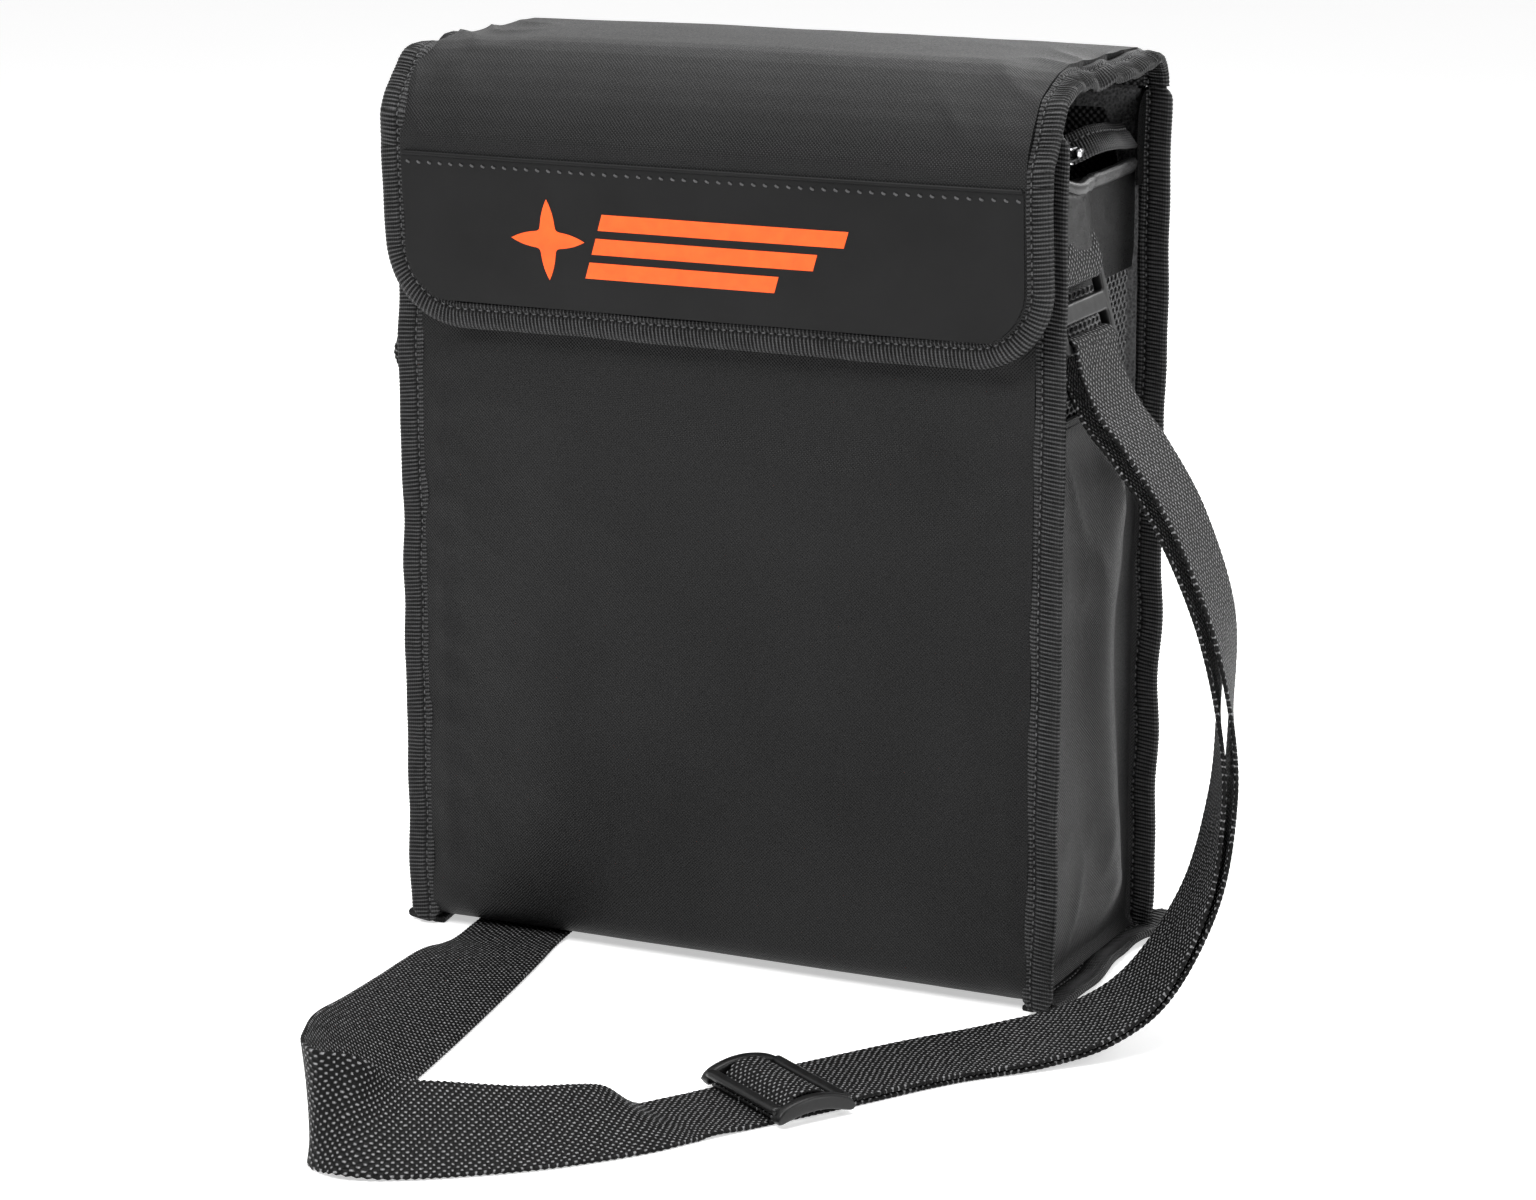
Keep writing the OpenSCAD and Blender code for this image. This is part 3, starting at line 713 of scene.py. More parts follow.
def lay_strap(name, rows, floor=True):
    """Webbing along a route in millimetres, kept above the floor. Returns the piece and its centreline."""
    line = smooth_line(np.array(rows, float) * ([MM] * 3 + [1] * 3), 0.6 * MM)
    centre, across = line[:, :3].copy(), line[:, 3:]
    tangent = unit(np.gradient(centre, axis=0))
    across = square_to(across, tangent)
    if floor:
        reach = STRAP_W / 2 * np.abs(across[:, 2]) + STRAP_T / 2 * np.abs(np.cross(tangent, across)[:, 2])
        centre[:, 2] = np.maximum(centre[:, 2], reach + 0.12 * MM)
    along = lengths(centre)
    return sweep(name, centre, across, webbing_section(along), "webbing", along), centre


def make_straps():
    full = np.vstack([strap_layer(1), SINGLE_ROUTE])
    hidden = len(PAIR_ROUTE) + 16
    front, front_line = lay_strap("shoulder_strap", full[: hidden + 1])
    rear, rear_line = lay_strap("shoulder_strap_rear", full[hidden:])
    second, second_line = lay_strap("strap_second_layer", strap_layer(-1))
    tail, _ = lay_strap("strap_sewn_end", TAIL_ROUTE, floor=False)
    for piece, ring, node in (
        (front, "right_ring", "strap_main"),
        (rear, "left_ring", "strap_main"),
        (second, "right_ring", "strap_return"),
        (tail, "left_ring", "left_strap_tail"),
    ):
        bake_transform(piece)
        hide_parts(node)
    return [(front, front_line, []), (rear, rear_line, [tail]), (second, second_line, [])]


# ---------------------------------------------------------------- case walls

wrap_low, wrap_high = box("outer_wrap")
HALF_W = wrap_high[0]
FRONT_Y, REAR_Y = wrap_low[1], wrap_high[1]
BASE_Z = wrap_low[2]
FRONT_TOP = box("front_foam")[1][2]
BACK_TOP = wrap_high[2]
BOTTOM_R = 8 * MM
SKIN = 0.8 * MM
FLAP_LOW = box("flap_front_binding")[0][2]


def fold_path(corners, radii, step):
    """Points in y and z along straight runs joined by arcs, with the outward direction at each."""
    made, corners = [], [np.array(c, float) for c in corners]
    made.append(corners[0])
    for before, corner, after, r in zip(corners, corners[1:], corners[2:], radii):
        back, on = unit(before - corner), unit(after - corner)
        half = math.acos(np.clip(back @ on, -1, 1)) / 2
        start, end = corner + back * r / math.tan(half), corner + on * r / math.tan(half)
        middle = corner + unit(back + on) * r / math.sin(half)
        a0, a1 = [math.atan2(*(p - middle)[::-1]) for p in (start, end)]
        turn = (a1 - a0 + math.pi) % math.tau - math.pi
        for t in np.linspace(0, 1, 9):
            made.append(middle + r * np.array([math.cos(a0 + turn * t), math.sin(a0 + turn * t)]))
    made.append(corners[-1])
    made = np.array(made)
    far = lengths(made)
    at = np.linspace(0, far[-1], int(far[-1] / step) + 1)
    return read_at(at, far, made), at


def make_wrap():
    """Front, bottom and back in one run of nylon, plumped by the foam behind it."""
    corners = [(FRONT_Y, FRONT_TOP), (FRONT_Y, BASE_Z), (REAR_Y, BASE_Z), (REAR_Y, BACK_TOP)]
    path, s = fold_path(corners, [BOTTOM_R, BOTTOM_R], 2.2 * MM)
    x = np.linspace(-HALF_W, HALF_W, 127)
    turn = unit(np.gradient(path, axis=0))
    out = np.stack([turn[:, 1], -turn[:, 0]], -1)
    if out[0] @ np.array([-1.0, 0.0]) < 0:
        out = -out
    y, z = path[:, :1], path[:, 1:]
    seam = 1 - np.abs(x) / HALF_W
    away = smoothstep(seam / 0.16)
    below_flap = window(z, BASE_Z, FLAP_LOW - 2 * MM, 60 * MM)
    on_front = (out[:, :1] < -0.5) * 1.0
    on_back = (out[:, :1] > 0.5) * 1.0
    plump = 3.2 * MM * below_flap * on_front + 3.5 * MM * window(z, BASE_Z, BACK_TOP, 70 * MM) * on_back
    soft = 0.55 * MM * ripples(x, z + y, 70 * MM, 3) + 0.22 * MM * ripples(x, z - y, 24 * MM, 5)
    under_flap = window(z, FLAP_LOW - 95 * MM, FLAP_LOW + 12 * MM, 30 * MM)
    sag = 0.9 * MM * creases(x * 0.45, z, 60 * MM, 8) * under_flap * on_front
    gathered = np.sin(math.tau * z / (17 * MM) + 3 * x / HALF_W)
    pucker = 0.35 * MM * gathered * window(seam, 0.01, 0.16, 0.05) * (on_front + on_back)
    free = (on_front * below_flap + on_back + 0.15).clip(0, 1)
    from_seam = HALF_W - np.abs(x)
    beside_seam = np.exp(-(((from_seam - 7 * MM) / (4 * MM)) ** 2))
    roll = 1.3 * MM * beside_seam * (0.55 + 0.45 * ripples(z, x * 0.2, 55 * MM, 9))
    near_seam = np.exp(-from_seam / (26 * MM)) * away
    gathers = 0.8 * MM * creases(x * 0.9 + z * 0.5, z * 0.8, 30 * MM, 12) * near_seam
    push = plump * smoothstep(seam / 0.5) + (soft * free + sag) * away + pucker + (roll + gathers) * free
    outer = as_points(x, y + push * out[:, :1], z + push * out[:, 1:])
    cloth = as_points(x, s[:, None], 0.0)
    settle(shell("nylon_wrap", outer, SKIN, cloth, "nylon", (0, 0.006, 0.2)), "case", "outer_wrap")


def pad(name, node, finish="foam", soft=1.2 * MM):
    """A slab with rounded edges and slightly uneven faces in the place of a CAD slab."""
    low, high = box(node)
    size = high - low
    piece = rounded_block(name, [low], size, min(soft, min(size) * 0.3), finish, 2)
    settle(piece, "case", node)
    return piece


def make_inside():
    for node in ("front_foam", "back_foam", "base_foam", "right_gusset_foam", "left_gusset_foam"):
        pad(node + "_pad", node)
    pad("base_stiffener", "base_board", "board", 0.4 * MM)
    low, high = box("lining")
    corner, wall = 9 * MM, 0.6 * MM
    middle_y = (high[1] + low[1]) / 2
    floor_z = low[2] + 0.3 * MM
    ring = oval(2 * high[0], high[1] - low[1], corner, 7)
    ring = np.vstack([ring, ring[:1]])
    far = lengths(ring)
    at = np.linspace(0, far[-1], 181)[:-1]
    ring = read_at(at, far, ring)
    side_top = box("right_mesh")[1][2] - 2 * MM
    rows = []
    for share in (0.0, 0.35, 0.7, 0.9):
        rows.append(as_points(ring[:, 0] * share, ring[:, 1] * share + middle_y, floor_z))
    side = smoothstep((np.abs(ring[:, 0]) - (high[0] - corner)) / corner)
    top = high[2] - 1 * MM - (high[2] - 1 * MM - side_top) * side
    for t in np.linspace(0, 1, 60):
        z = floor_z + (top - low[2]) * t
        inward = 1.5 * MM * (ripples(at, z, 60 * MM, 21) * 0.5 + 0.5) + 3 * MM * (1 - t) ** 8
        inward = inward * window(t, -0.2, 0.8, 0.14)
        shrink = 1 - (wall + inward) / np.hypot(ring[:, 0], ring[:, 1]).clip(30 * MM)
        rows.append(as_points(ring[:, 0] * shrink, ring[:, 1] * shrink + middle_y, z))
    inner = np.array(rows)
    outer = inner + unit(as_points(inner[..., 0], inner[..., 1] - middle_y, 0.0)) * 0.5 * MM
    outer[:4, :, 2] -= 0.4 * MM
    points = np.concatenate([inner, outer[::-1]])
    faces = grid_faces(*points.shape[:2], wrap=True).tolist()
    cloth = as_points(at, points[..., 2] + points[..., 1] * 0.3, 0.0)
    settle(add_mesh("lining_bag", points, faces, "lining_cloth", cloth), "case", "lining")


# ---------------------------------------------------------------- bound edges

RIB = 1.45 * MM
GROOVE_AT = 0.31


def bound_edge(name, centre, across, body, width, thick, wobble=0.9 * MM, seed=1, narrow=None):
    """Ribbed tape folded over a cut edge and sewn down along a line near its inner side."""
    step = lengths(centre)
    tangent = unit(np.gradient(centre, axis=0))
    across = square_to(across, tangent)
    lift = np.cross(tangent, across)
    ends = window(step, -1 * MM, step[-1] + 1 * MM, 12 * MM)[:, None]
    side_wave = ripples(step, 0, 42 * MM, seed)[:, None]
    flat_wave = ripples(step, 0, 30 * MM, seed + 7)[:, None]
    centre = centre + ends * wobble * (side_wave * across + 1.3 * flat_wave * lift)
    base = rounded_slab(width, thick, 11, 3)
    share = base[:, 0] / width + 0.5
    dip = np.exp(-(((share - GROOVE_AT) / 0.07) ** 2))
    swell = 1 + 0.12 * np.sin(math.pi * share) - 0.42 * dip
    swollen = np.stack([base[:, 0], base[:, 1] * swell], -1)
    section = np.repeat(swollen[None], len(step), axis=0)
    if narrow is not None:
        section[..., 0] *= narrow[:, None]
    rib = np.cos(math.tau * step / RIB + 0.5 * side_wave[:, 0])[:, None]
    ridge = 0.16 * MM * rib * (1 - 0.6 * dip)
    section[..., 1] += np.sign(base[:, 1]) * ridge * (np.abs(base[:, 1]) > 0.1 * thick)
    section[..., 0] += 0.12 * MM * rib * (share > 0.97)
    piece = sweep(name, centre, across, section, "grosgrain", step)
    seam = centre + across * width * (GROOVE_AT - 0.5)
    made = [piece]
    for side, label in ((1, "_stitches"), (-1, "_stitches_back")):
        line = seam + side * lift * thick / 2 * 0.62
        made.append(stitches(name + label, line, tangent, side * lift, 3.1 * MM, 2.4 * MM))
    for part in made:
        if body is not None:
            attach(part, body)
    return made


def straight(start, end, step=RIB / 4):
    start, end = np.array(start), np.array(end)
    count = int(np.linalg.norm(end - start) / step) + 1
    return start + (end - start) * np.linspace(0, 1, count)[:, None]


def make_side_bindings():
    for side, word in SIDES:
        for place, seed in (("front", 11), ("rear", 23)):
            node = f"{word}_{place}_binding"
            low, high = box(node)
            middle_y = (low[1] + high[1]) / 2
            middle_x = (low[0] + high[0]) / 2 - side * 1.1 * MM
            line = straight((middle_x, middle_y, low[2] - 1.4 * MM), (middle_x, middle_y, high[2]))
            line = line + np.array([side * 0.6, 0, 0]) * MM * smoothstep((line[:, 2:] - low[2]) / (40 * MM))
            across = np.tile([side, 0.0, 0.0], (len(line), 1))
            to_end = np.minimum(line[:, 2] - line[0, 2], line[-1, 2] - line[:, 2])
            round_ends = np.sqrt(1 - ((5 * MM - to_end) / (5 * MM)).clip(0, 0.8) ** 2)
            width = high[0] - low[0] + 1.9 * MM
            made = bound_edge(
                node + "_tape", line, across, "case", width, 3 * MM, seed=seed + side, narrow=round_ends
            )
            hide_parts(node)
        node = f"{word}_bottom_binding"
        low, high = box(node)
        tape_x, tape_z = (low[0] + high[0]) / 2 - side * 1.6 * MM, (low[2] + high[2]) / 2 + 0.3 * MM
        start, past = 3 * MM, 7 * MM
        line = straight((tape_x, low[1] + start, tape_z), (tape_x, high[1] + past, tape_z))
        share = (line[:, 1] - line[0, 1]) / (line[-1, 1] - line[0, 1])
        bulge = 5 * MM * smoothstep((share - 0.72) / 0.28) + 1.6 * MM * np.sin(math.pi * share * 2.2)
        line[:, 0] += side * (1.2 * MM + bulge)
        line[:, 2] += 4.5 * MM * smoothstep((share - 0.86) / 0.14)
        line[:, 2] += 0.9 * MM * np.sin(math.pi * share * 3) ** 2
        across = np.tile([side, 0.0, 0.16], (len(line), 1))
        round_end = np.sqrt(1 - ((share - 0.93) / 0.07).clip(0, 0.99) ** 2)
        width = high[0] - low[0] + 5 * MM
        made = bound_edge(
            node + "_tape", line, across, "case", width, 2.9 * MM, wobble=0.25 * MM, seed=31, narrow=round_end
        )
        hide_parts(node)
    low, high = box("front_top_binding")
    middle_y, tape_z = (low[1] + high[1]) / 2, high[2] - 3.4 * MM
    line = straight((low[0], middle_y, tape_z), (high[0], middle_y, tape_z))
    across = np.tile([0.0, 0.0, 1.0], (len(line), 1))
    thick = high[1] - low[1]
    made = bound_edge("front_top_tape", line, across, "case", 7.6 * MM, thick, wobble=0.1 * MM, seed=41)
    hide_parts("front_top_binding")


# ---------------------------------------------------------------- side panels


def side_points(side, y, z, out):
    return as_points(side * out, y, z)


def make_side(side, word):
    """Padded nylon below, netting above it, and a plain patch with a rolled hem at the top."""
    low, high = box(f"{word}_gusset")
    y = np.linspace(low[1], high[1], 61)
    rim = high[2] + np.array([0.8, 1.0, 0.2]) * MM
    z = np.concatenate([np.linspace(low[2], high[2], 110), rim])[:, None]
    share = (y - low[1]) / (high[1] - low[1])
    round_side = np.sin(math.pi * share) ** 0.8
    ridge = np.exp(-(((share - 0.62 - 0.06 * np.sin(z / (34 * MM) + 1)) / 0.13) ** 2))
    tall = window(z, low[2] - 1 * MM, high[2] + 1 * MM, 26 * MM)
    out = HALF_W + (2.6 * MM * round_side + 5.2 * MM * ridge) * tall
    out = out + 0.7 * MM * ripples(y, z * 0.5, 40 * MM, 51 + side) * round_side * tall
    at_foot = round_side * window(z, low[2], low[2] + 60 * MM, 20 * MM)
    at_top = round_side * window(z, high[2] - 75 * MM, high[2], 25 * MM)
    out = out + 1.4 * MM * creases(y, z * 0.35, 45 * MM, 57) * at_foot
    out = out + 2.2 * MM * creases(y * 1.2 + z * 0.4, z * 0.4, 52 * MM, 59) * at_top
    out = out - 1.9 * MM * smoothstep((z - high[2] + 4 * MM) / (5 * MM))
    at_seams = smoothstep((abs(share - 0.5) - 0.462) / 0.038)
    out = out + 2.4 * MM * at_seams * smoothstep((high[2] - 6 * MM - z) / (8 * MM))
    out = out + 2.4 * MM * smoothstep((low[2] + 4 * MM - z) / (4 * MM))
    out = out - 1.2 * MM * (z > high[2] + 0.9 * MM)
    surface = side_points(side, y, z, out)
    gusset = shell(f"{word}_side_nylon", surface, SKIN, as_points(y, z, 0.0), "nylon", (0, 0.006, 0.1))
    settle(gusset, "case", f"{word}_gusset")
    make_netting(side, word)
    make_patch(side, word)


def make_netting(side, word):
    """Coarse netting: six-sided holes between thin cords."""
    low, high = box(f"{word}_mesh")
    middle = (low[0] + high[0]) / 2
    cell, stretch, cord = 1.6 * MM, 1.55, 1.0 * MM
    across, up = cell * stretch * math.sqrt(3), cell * 1.5
    top = box(f"{word}_patch")[0][2] + 14 * MM
    columns, rows = int((high[1] - low[1]) / across), int((top - low[2]) / up)
    points, index, faces = [], {}, []
    for row in range(rows):
        for column in range(columns):
            cy = low[1] + across * (column + 0.5 + 0.5 * (row % 2))
            cz = low[2] + up * (row + 0.4)
            face = []
            for corner in range(6):
                angle = math.radians(60 * corner + 30)
                py, pz = cy + cell * stretch * math.cos(angle), cz + cell * math.sin(angle)
                key = (round(py / (0.1 * MM)), round(pz / (0.1 * MM)))
                if key not in index:
                    index[key] = len(points)
                    points.append((py, pz))
                face.append(index[key])
            faces.append(face)
    flat = np.array(points)
    share = np.clip((flat[:, 0] - low[1]) / (high[1] - low[1]), 0, 1)
    puff = 1.2 * MM * np.sin(math.pi * share) * smoothstep((flat[:, 1] - low[2]) / (15 * MM))
    at = np.stack([middle + side * puff, np.clip(flat[:, 0], low[1], high[1]), flat[:, 1]], -1)
    net = add_mesh(f"{word}_netting", at, faces, "mesh")
    wire = net.modifiers.new("cords", "WIREFRAME")
    wire.thickness = cord
    wire.use_even_offset = False
    settle(net, "case", f"{word}_mesh")


def make_patch(side, word):
    low, high = box(f"{word}_patch")
    middle = abs(low[0] + high[0]) / 2
    hem_z = high[2] - 1.6 * MM
    y = np.linspace(low[1] - 3.5 * MM, high[1] + 3.5 * MM, 71)
    share = (y - y[0]) / (y[-1] - y[0])
    dent = 2.2 * MM * np.exp(-(((share - 0.3) / 0.08) ** 2))
    sag = 1.2 * MM - 2.4 * MM * np.sin(math.pi * share) ** 2 - dent - 4.5 * MM * share
    climb = np.linspace(0, 1, 48)[:, None]
    z = low[2] + (hem_z + sag - low[2]) * climb
    puff = 1.6 * MM * np.sin(math.pi * share) ** 0.6 * (0.4 + 0.6 * np.sin(math.pi * climb))
    folds = 1.1 * MM * ripples(y, z * 0.8, 45 * MM, 63 + side) * np.sin(math.pi * share)
    out = middle + 0.6 * MM + puff + folds.clip(-0.8 * MM, 2 * MM)
    out = out + 0.5 * MM * creases(y * 0.8 + z * 0.5, z - y * 0.3, 40 * MM, 66) * np.sin(math.pi * share)
    above = z - low[2] - 1.5 * MM * np.sin(y / (9 * MM))
    near_tab = np.exp(-(((y + 17 * MM) / (19 * MM)) ** 6)) * window(above, 12 * MM, 40 * MM, 4.5 * MM)
    out = out + (4.6 * MM + 0.9 * MM * creases(y, z * 0.6, 22 * MM, 67)) * near_tab
    fold = np.linspace(0.2, 1, 5)[:, None]
    z = np.concatenate([z, z[-1:] + 1.2 * MM * fold])
    zip_end = box(f"{word}_zip_end")[1 if side > 0 else 0][0] * side
    out = np.concatenate([out, out[-1:] + (zip_end - 2.6 * MM - out[-1:]) * fold])
    surface = side_points(side, y, z, out)
    inward = (0, 0.006, 0.27)
    patch = shell(f"{word}_plain_patch", surface, 0.7 * MM, as_points(y, z, 0.0), "plain_nylon", inward)
    settle(patch, "case", f"{word}_patch")
    line = side_points(side, y, hem_z + sag, out[-6] + 0.3 * MM)
    line = smooth_line(line, 1 * MM)
    across = np.tile([side * 0.35, 0.0, 1.0], (len(line), 1))
    section = rounded_slab(6 * MM, 4 * MM, 7, 4)
    hem = sweep(f"{word}_patch_hem", line, across, section, "nylon")
    hem.data.materials[0] = HEM
    settle(hem, "case", f"{word}_patch")
    make_wall_edges(side, word)


def make_wall_edges(side, word):
    """Nylon turned round the side edges of the front and back walls, above the patch."""
    hem_z = box(f"{word}_patch")[1][2]
    for place, y_low, y_high, top in (
        ("front", FRONT_Y + 0.3 * MM, FRONT_Y + 8 * MM, FRONT_TOP),
        ("rear", REAR_Y - 9 * MM, REAR_Y - 0.3 * MM, BACK_TOP - 0.5 * MM),
    ):
        y = np.linspace(y_low, y_high, 14)
        reach = (y - y_low if place == "rear" else y_high - y) / (y_high - y_low)
        z_low = hem_z - 12 * MM
        z_high = top - 14 * MM * (1 - np.sqrt(1 - (1 - reach) ** 2))
        z = z_low + (z_high - z_low) * np.linspace(0, 1, 26)[:, None]
        out = HALF_W + 0.4 * MM + 0.5 * MM * ripples(y, z, 18 * MM, 68) + 0.8 * MM * reach
        surface, cloth = side_points(side, y, z, out), as_points(y, z, 0.0)
        name = f"{word}_{place}_wall_edge"
        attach(shell(name, surface, 0.7 * MM, cloth, "plain_nylon", (0, 0.006, 0.29)), "case")


# ---------------------------------------------------------------- flap

LIFT = np.array(joint("flap_lift")["pos_m"])
FOLD = np.array(joint("flap_front_fold")["pos_m"])
TOP_Z = box("flap_top_panel")[1][2]
FLAP_INNER = box("flap_top_panel")[1][0]
FLAP_HALF = box("flap_right_binding")[1][0]
TAPE_W = FLAP_HALF - FLAP_INNER
FLAP_T = 4 * MM
FLAP_LINING_T = 0.8 * MM
FLAP_TILT = math.radians(3.5)
FLAP_R = 30 * MM
FLAP_DROP = (FOLD[2] - FLAP_LOW) / math.cos(FLAP_TILT)
BAND_H = 63 * MM
BAND_RISE = 0.45 * MM


def flap_profile():
    front_at_top = FOLD[1] - (TOP_Z - FOLD[2]) * math.tan(FLAP_TILT)
    end = (FOLD[1] + FLAP_DROP * math.sin(FLAP_TILT), FOLD[2] - FLAP_DROP * math.cos(FLAP_TILT))
    corners = [(LIFT[1], BACK_TOP + 0.1 * MM), (LIFT[1], TOP_Z), (front_at_top, TOP_Z), end]
    return fold_path(corners, [TOP_Z - LIFT[2], TOP_Z - FOLD[2]], 0.5 * MM)


PROFILE, PROFILE_S = flap_profile()
PROFILE_TURN = unit(np.gradient(PROFILE, axis=0))
S_END = PROFILE_S[-1]
S_FOLD = S_END - FLAP_DROP


def along_flap(s):
    """Place, direction along and direction outwards, in y and z, at a distance from the flap's rear seam."""
    place = [np.interp(s, PROFILE_S, PROFILE[:, k]) for k in (0, 1)]
    turn = [np.interp(s, PROFILE_S, PROFILE_TURN[:, k]) for k in (0, 1)]
    size = np.hypot(*turn)
    turn = [t / size for t in turn]
    return place, turn, (turn[1], -turn[0])


def flap_puff(x, s):
    """How far the padded flap stands out from its plain profile."""
    across = (1 - (np.abs(x) / FLAP_HALF) ** 3).clip(0)
    top = window(s, 0, S_FOLD, 45 * MM)
    front = window(s, S_FOLD - 25 * MM, S_END + 4 * MM, 30 * MM)
    rolled = np.exp(-(((s - S_FOLD + 12 * MM) / (16 * MM)) ** 2))
    plump = (1.8 * top + 1.6 * front + 0.8 * rolled) * MM * across
    soft = 0.45 * MM * ripples(x, s, 90 * MM, 71) + 0.16 * MM * ripples(x, s, 26 * MM, 73)
    corner = smoothstep((np.abs(x) - 70 * MM) / (45 * MM)) * window(s, 20 * MM, S_FOLD + 8 * MM, 30 * MM)
    return plump + soft * across + (1.5 * MM * creases(x, s * 0.7, 34 * MM, 77) - 0.9 * MM) * corner


def on_flap(x, s, depth=0.0):
    """Points on the flap at a depth below its outer face."""
    (y, z), _, (oy, oz) = along_flap(s)
    rise = flap_puff(x, s) - depth
    return as_points(x, y + rise * oy, z + rise * oz)


def hang_half(half, r, s):
    """Half width of a shape whose lower corners are round, at each distance along the flap."""
    end = S_END - (FLAP_HALF - half)
    into = (s - (end - r)).clip(0, r)
    return half - r + np.sqrt((r**2 - into**2).clip(0))


def flap_cloth(name, half, r, s_values, depth, thick, finish, body):
    """A layer of the flap between two distances along it."""
    s = np.asarray(s_values)[:, None]
    share = np.sin(np.linspace(-1, 1, 129) * math.pi / 2 * 0.97) / math.sin(math.pi / 2 * 0.97)
    x = share * hang_half(half, r, s)
    outer = on_flap(x, s + 0 * x, depth)
    cloth = as_points(x, s, 0.0)
    return bend_flap(shell(name, outer, thick, cloth, finish, (0, 0.0, 0.27)), body)


def bend_flap(piece, body):
    """Bakes a piece of the flap into place; it is tied to no body, so it does not turn with the fold."""
    if body == "flap_top":
        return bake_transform(piece)
    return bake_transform(piece)


def to_lower_edge(start, count, end, r):
    """Distances along the flap to its lower edge, closer together beside the round corners."""
    turn = np.linspace(0, math.pi / 2, 18)
    return np.concatenate([np.linspace(start, end - r, count)[:-1], end - r * (1 - np.sin(turn))])


def make_flap():
    inner_r = FLAP_R - TAPE_W
    end = S_END - TAPE_W
    band_top = S_END - BAND_H
    top_s = np.linspace(0, S_FOLD, 74)
    front_s = to_lower_edge(S_FOLD, 24, end, inner_r)
    band_s = to_lower_edge(band_top, 18, end, inner_r)
    cover, band = FLAP_INNER + 1.5 * MM, FLAP_INNER + 0.8 * MM
    padding = FLAP_T - FLAP_LINING_T
    thick, thin, lining = padding - 0.1 * MM, 0.7 * MM, "lining_cloth"
    for body, name, node, half, s, depth, thickness, finish in (
        ("flap_top", "flap_top_cover", "flap_top_panel", cover, top_s, 0, thick, "nylon"),
        ("flap_front", "flap_front_cover", "flap_front_panel", cover, front_s, 0, thick, "nylon"),
        ("flap_front", "flap_smooth_band", "flap_band", band, band_s, -BAND_RISE, 0.8 * MM, "vinyl"),
        ("flap_top", "flap_top_underside", "flap_top_lining", cover, top_s, padding, thin, lining),
        ("flap_front", "flap_front_underside", "flap_front_lining", cover, front_s, padding, thin, lining),
    ):
        layer = flap_cloth(name, half, inner_r, s, depth, thickness, finish, body)
        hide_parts(node)
    make_flap_tape()
    make_band_seam(band_top)
    make_emblem(band_top, end)


def make_flap_tape():
    """The tape round the flap: down both sides and round the lower edge, in three lengths."""
    middle = FLAP_HALF - TAPE_W / 2
    r = FLAP_R - TAPE_W / 2
    step = RIB / 4
    lower = S_END - FLAP_R
    down = np.arange(S_FOLD, lower, step)
    turn = np.linspace(0, math.pi / 2, int(r * math.pi / 2 / step))
    bottom = np.arange(middle - FLAP_R + TAPE_W / 2, -(middle - FLAP_R + TAPE_W / 2), -step)
    cx = FLAP_HALF - FLAP_R
    cos, sin = np.cos(turn), np.sin(turn)
    ones, flat, edge = np.ones_like(down), np.zeros_like(down), np.ones(len(bottom) - 2)
    x = np.concatenate([middle * ones, cx + r * cos, bottom[1:-1], -cx - r * cos[::-1], -middle * ones])
    round_s = lower + r * sin
    s = np.concatenate([down, round_s, (lower + r) * edge, round_s[::-1], down[::-1]])
    nx = np.concatenate([ones, cos, 0 * edge, -cos[::-1], -ones])
    ns = np.concatenate([flat, sin, edge, sin[::-1], flat])
    pieces = {"flap_front_binding": (x, s, nx, ns, "flap_front", np.zeros_like(x), 0.6 * MM)}
    up_s = np.arange(0, S_FOLD + step / 2, step)
    flat = np.zeros_like(up_s)
    slack = window(up_s, 4 * MM, S_FOLD - 34 * MM, 34 * MM)
    for side, word in SIDES:
        droop = slack * (0.8 + 0.75 * ripples(up_s, 0, 19 * MM, 86 + side)) * (0.85 if side > 0 else 0.45)
        tape_x = side * (FLAP_INNER + TAPE_W / 2 * np.cos(droop))
        pieces[f"flap_{word}_binding"] = (tape_x, up_s, flat + side, flat, "flap_top", droop, 1.5 * MM)
    for node, (px, ps, ax, a_s, body, droop, wobble) in pieces.items():
        _, (ty, tz), (oy, oz) = along_flap(ps)
        centre = on_flap(px, ps, FLAP_T / 2 + 0.1 * MM + TAPE_W / 2 * np.sin(droop))
        fall = np.sin(droop)
        across = np.stack([ax * np.cos(droop), a_s * ty - fall * oy, a_s * tz - fall * oz], -1)
        width, thick = TAPE_W + 0.8 * MM, FLAP_T - 0.2 * MM
        made = bound_edge(node + "_tape", centre, across, None, width, thick, wobble=wobble, seed=83)
        for part in made:
            bend_flap(part, body)
        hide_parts(node)


def make_band_seam(band_top):
    """Folded top edge of the band, and the row of stitches under it."""
    x = np.linspace(-FLAP_INNER - 0.4 * MM, FLAP_INNER + 0.4 * MM, 260)
    lip = on_flap(x, np.full_like(x, band_top + 0.3 * MM), -0.6 * MM)
    _, (ty, tz), (oy, oz) = along_flap(np.full_like(x, band_top))
    across = np.stack([0 * x, ty, tz], -1)
    edge = sweep("band_folded_edge", lip, across, rounded_slab(1.5 * MM, 1.0 * MM, 3, 3), "vinyl")
    bend_flap(edge, "flap_front")
    seam = on_flap(x, np.full_like(x, band_top + 3.4 * MM), -BAND_RISE)
    row = np.tile([1.0, 0, 0], (len(x), 1)) + 0.55 * across
    outward = np.stack([0 * x, oy, oz], -1)
    sizes = {"pitch": 4.4 * MM, "length": 2.2 * MM, "radius": 0.42 * MM}
    bend_flap(stitches("band_stitches", seam, row, outward, **sizes), "flap_front")


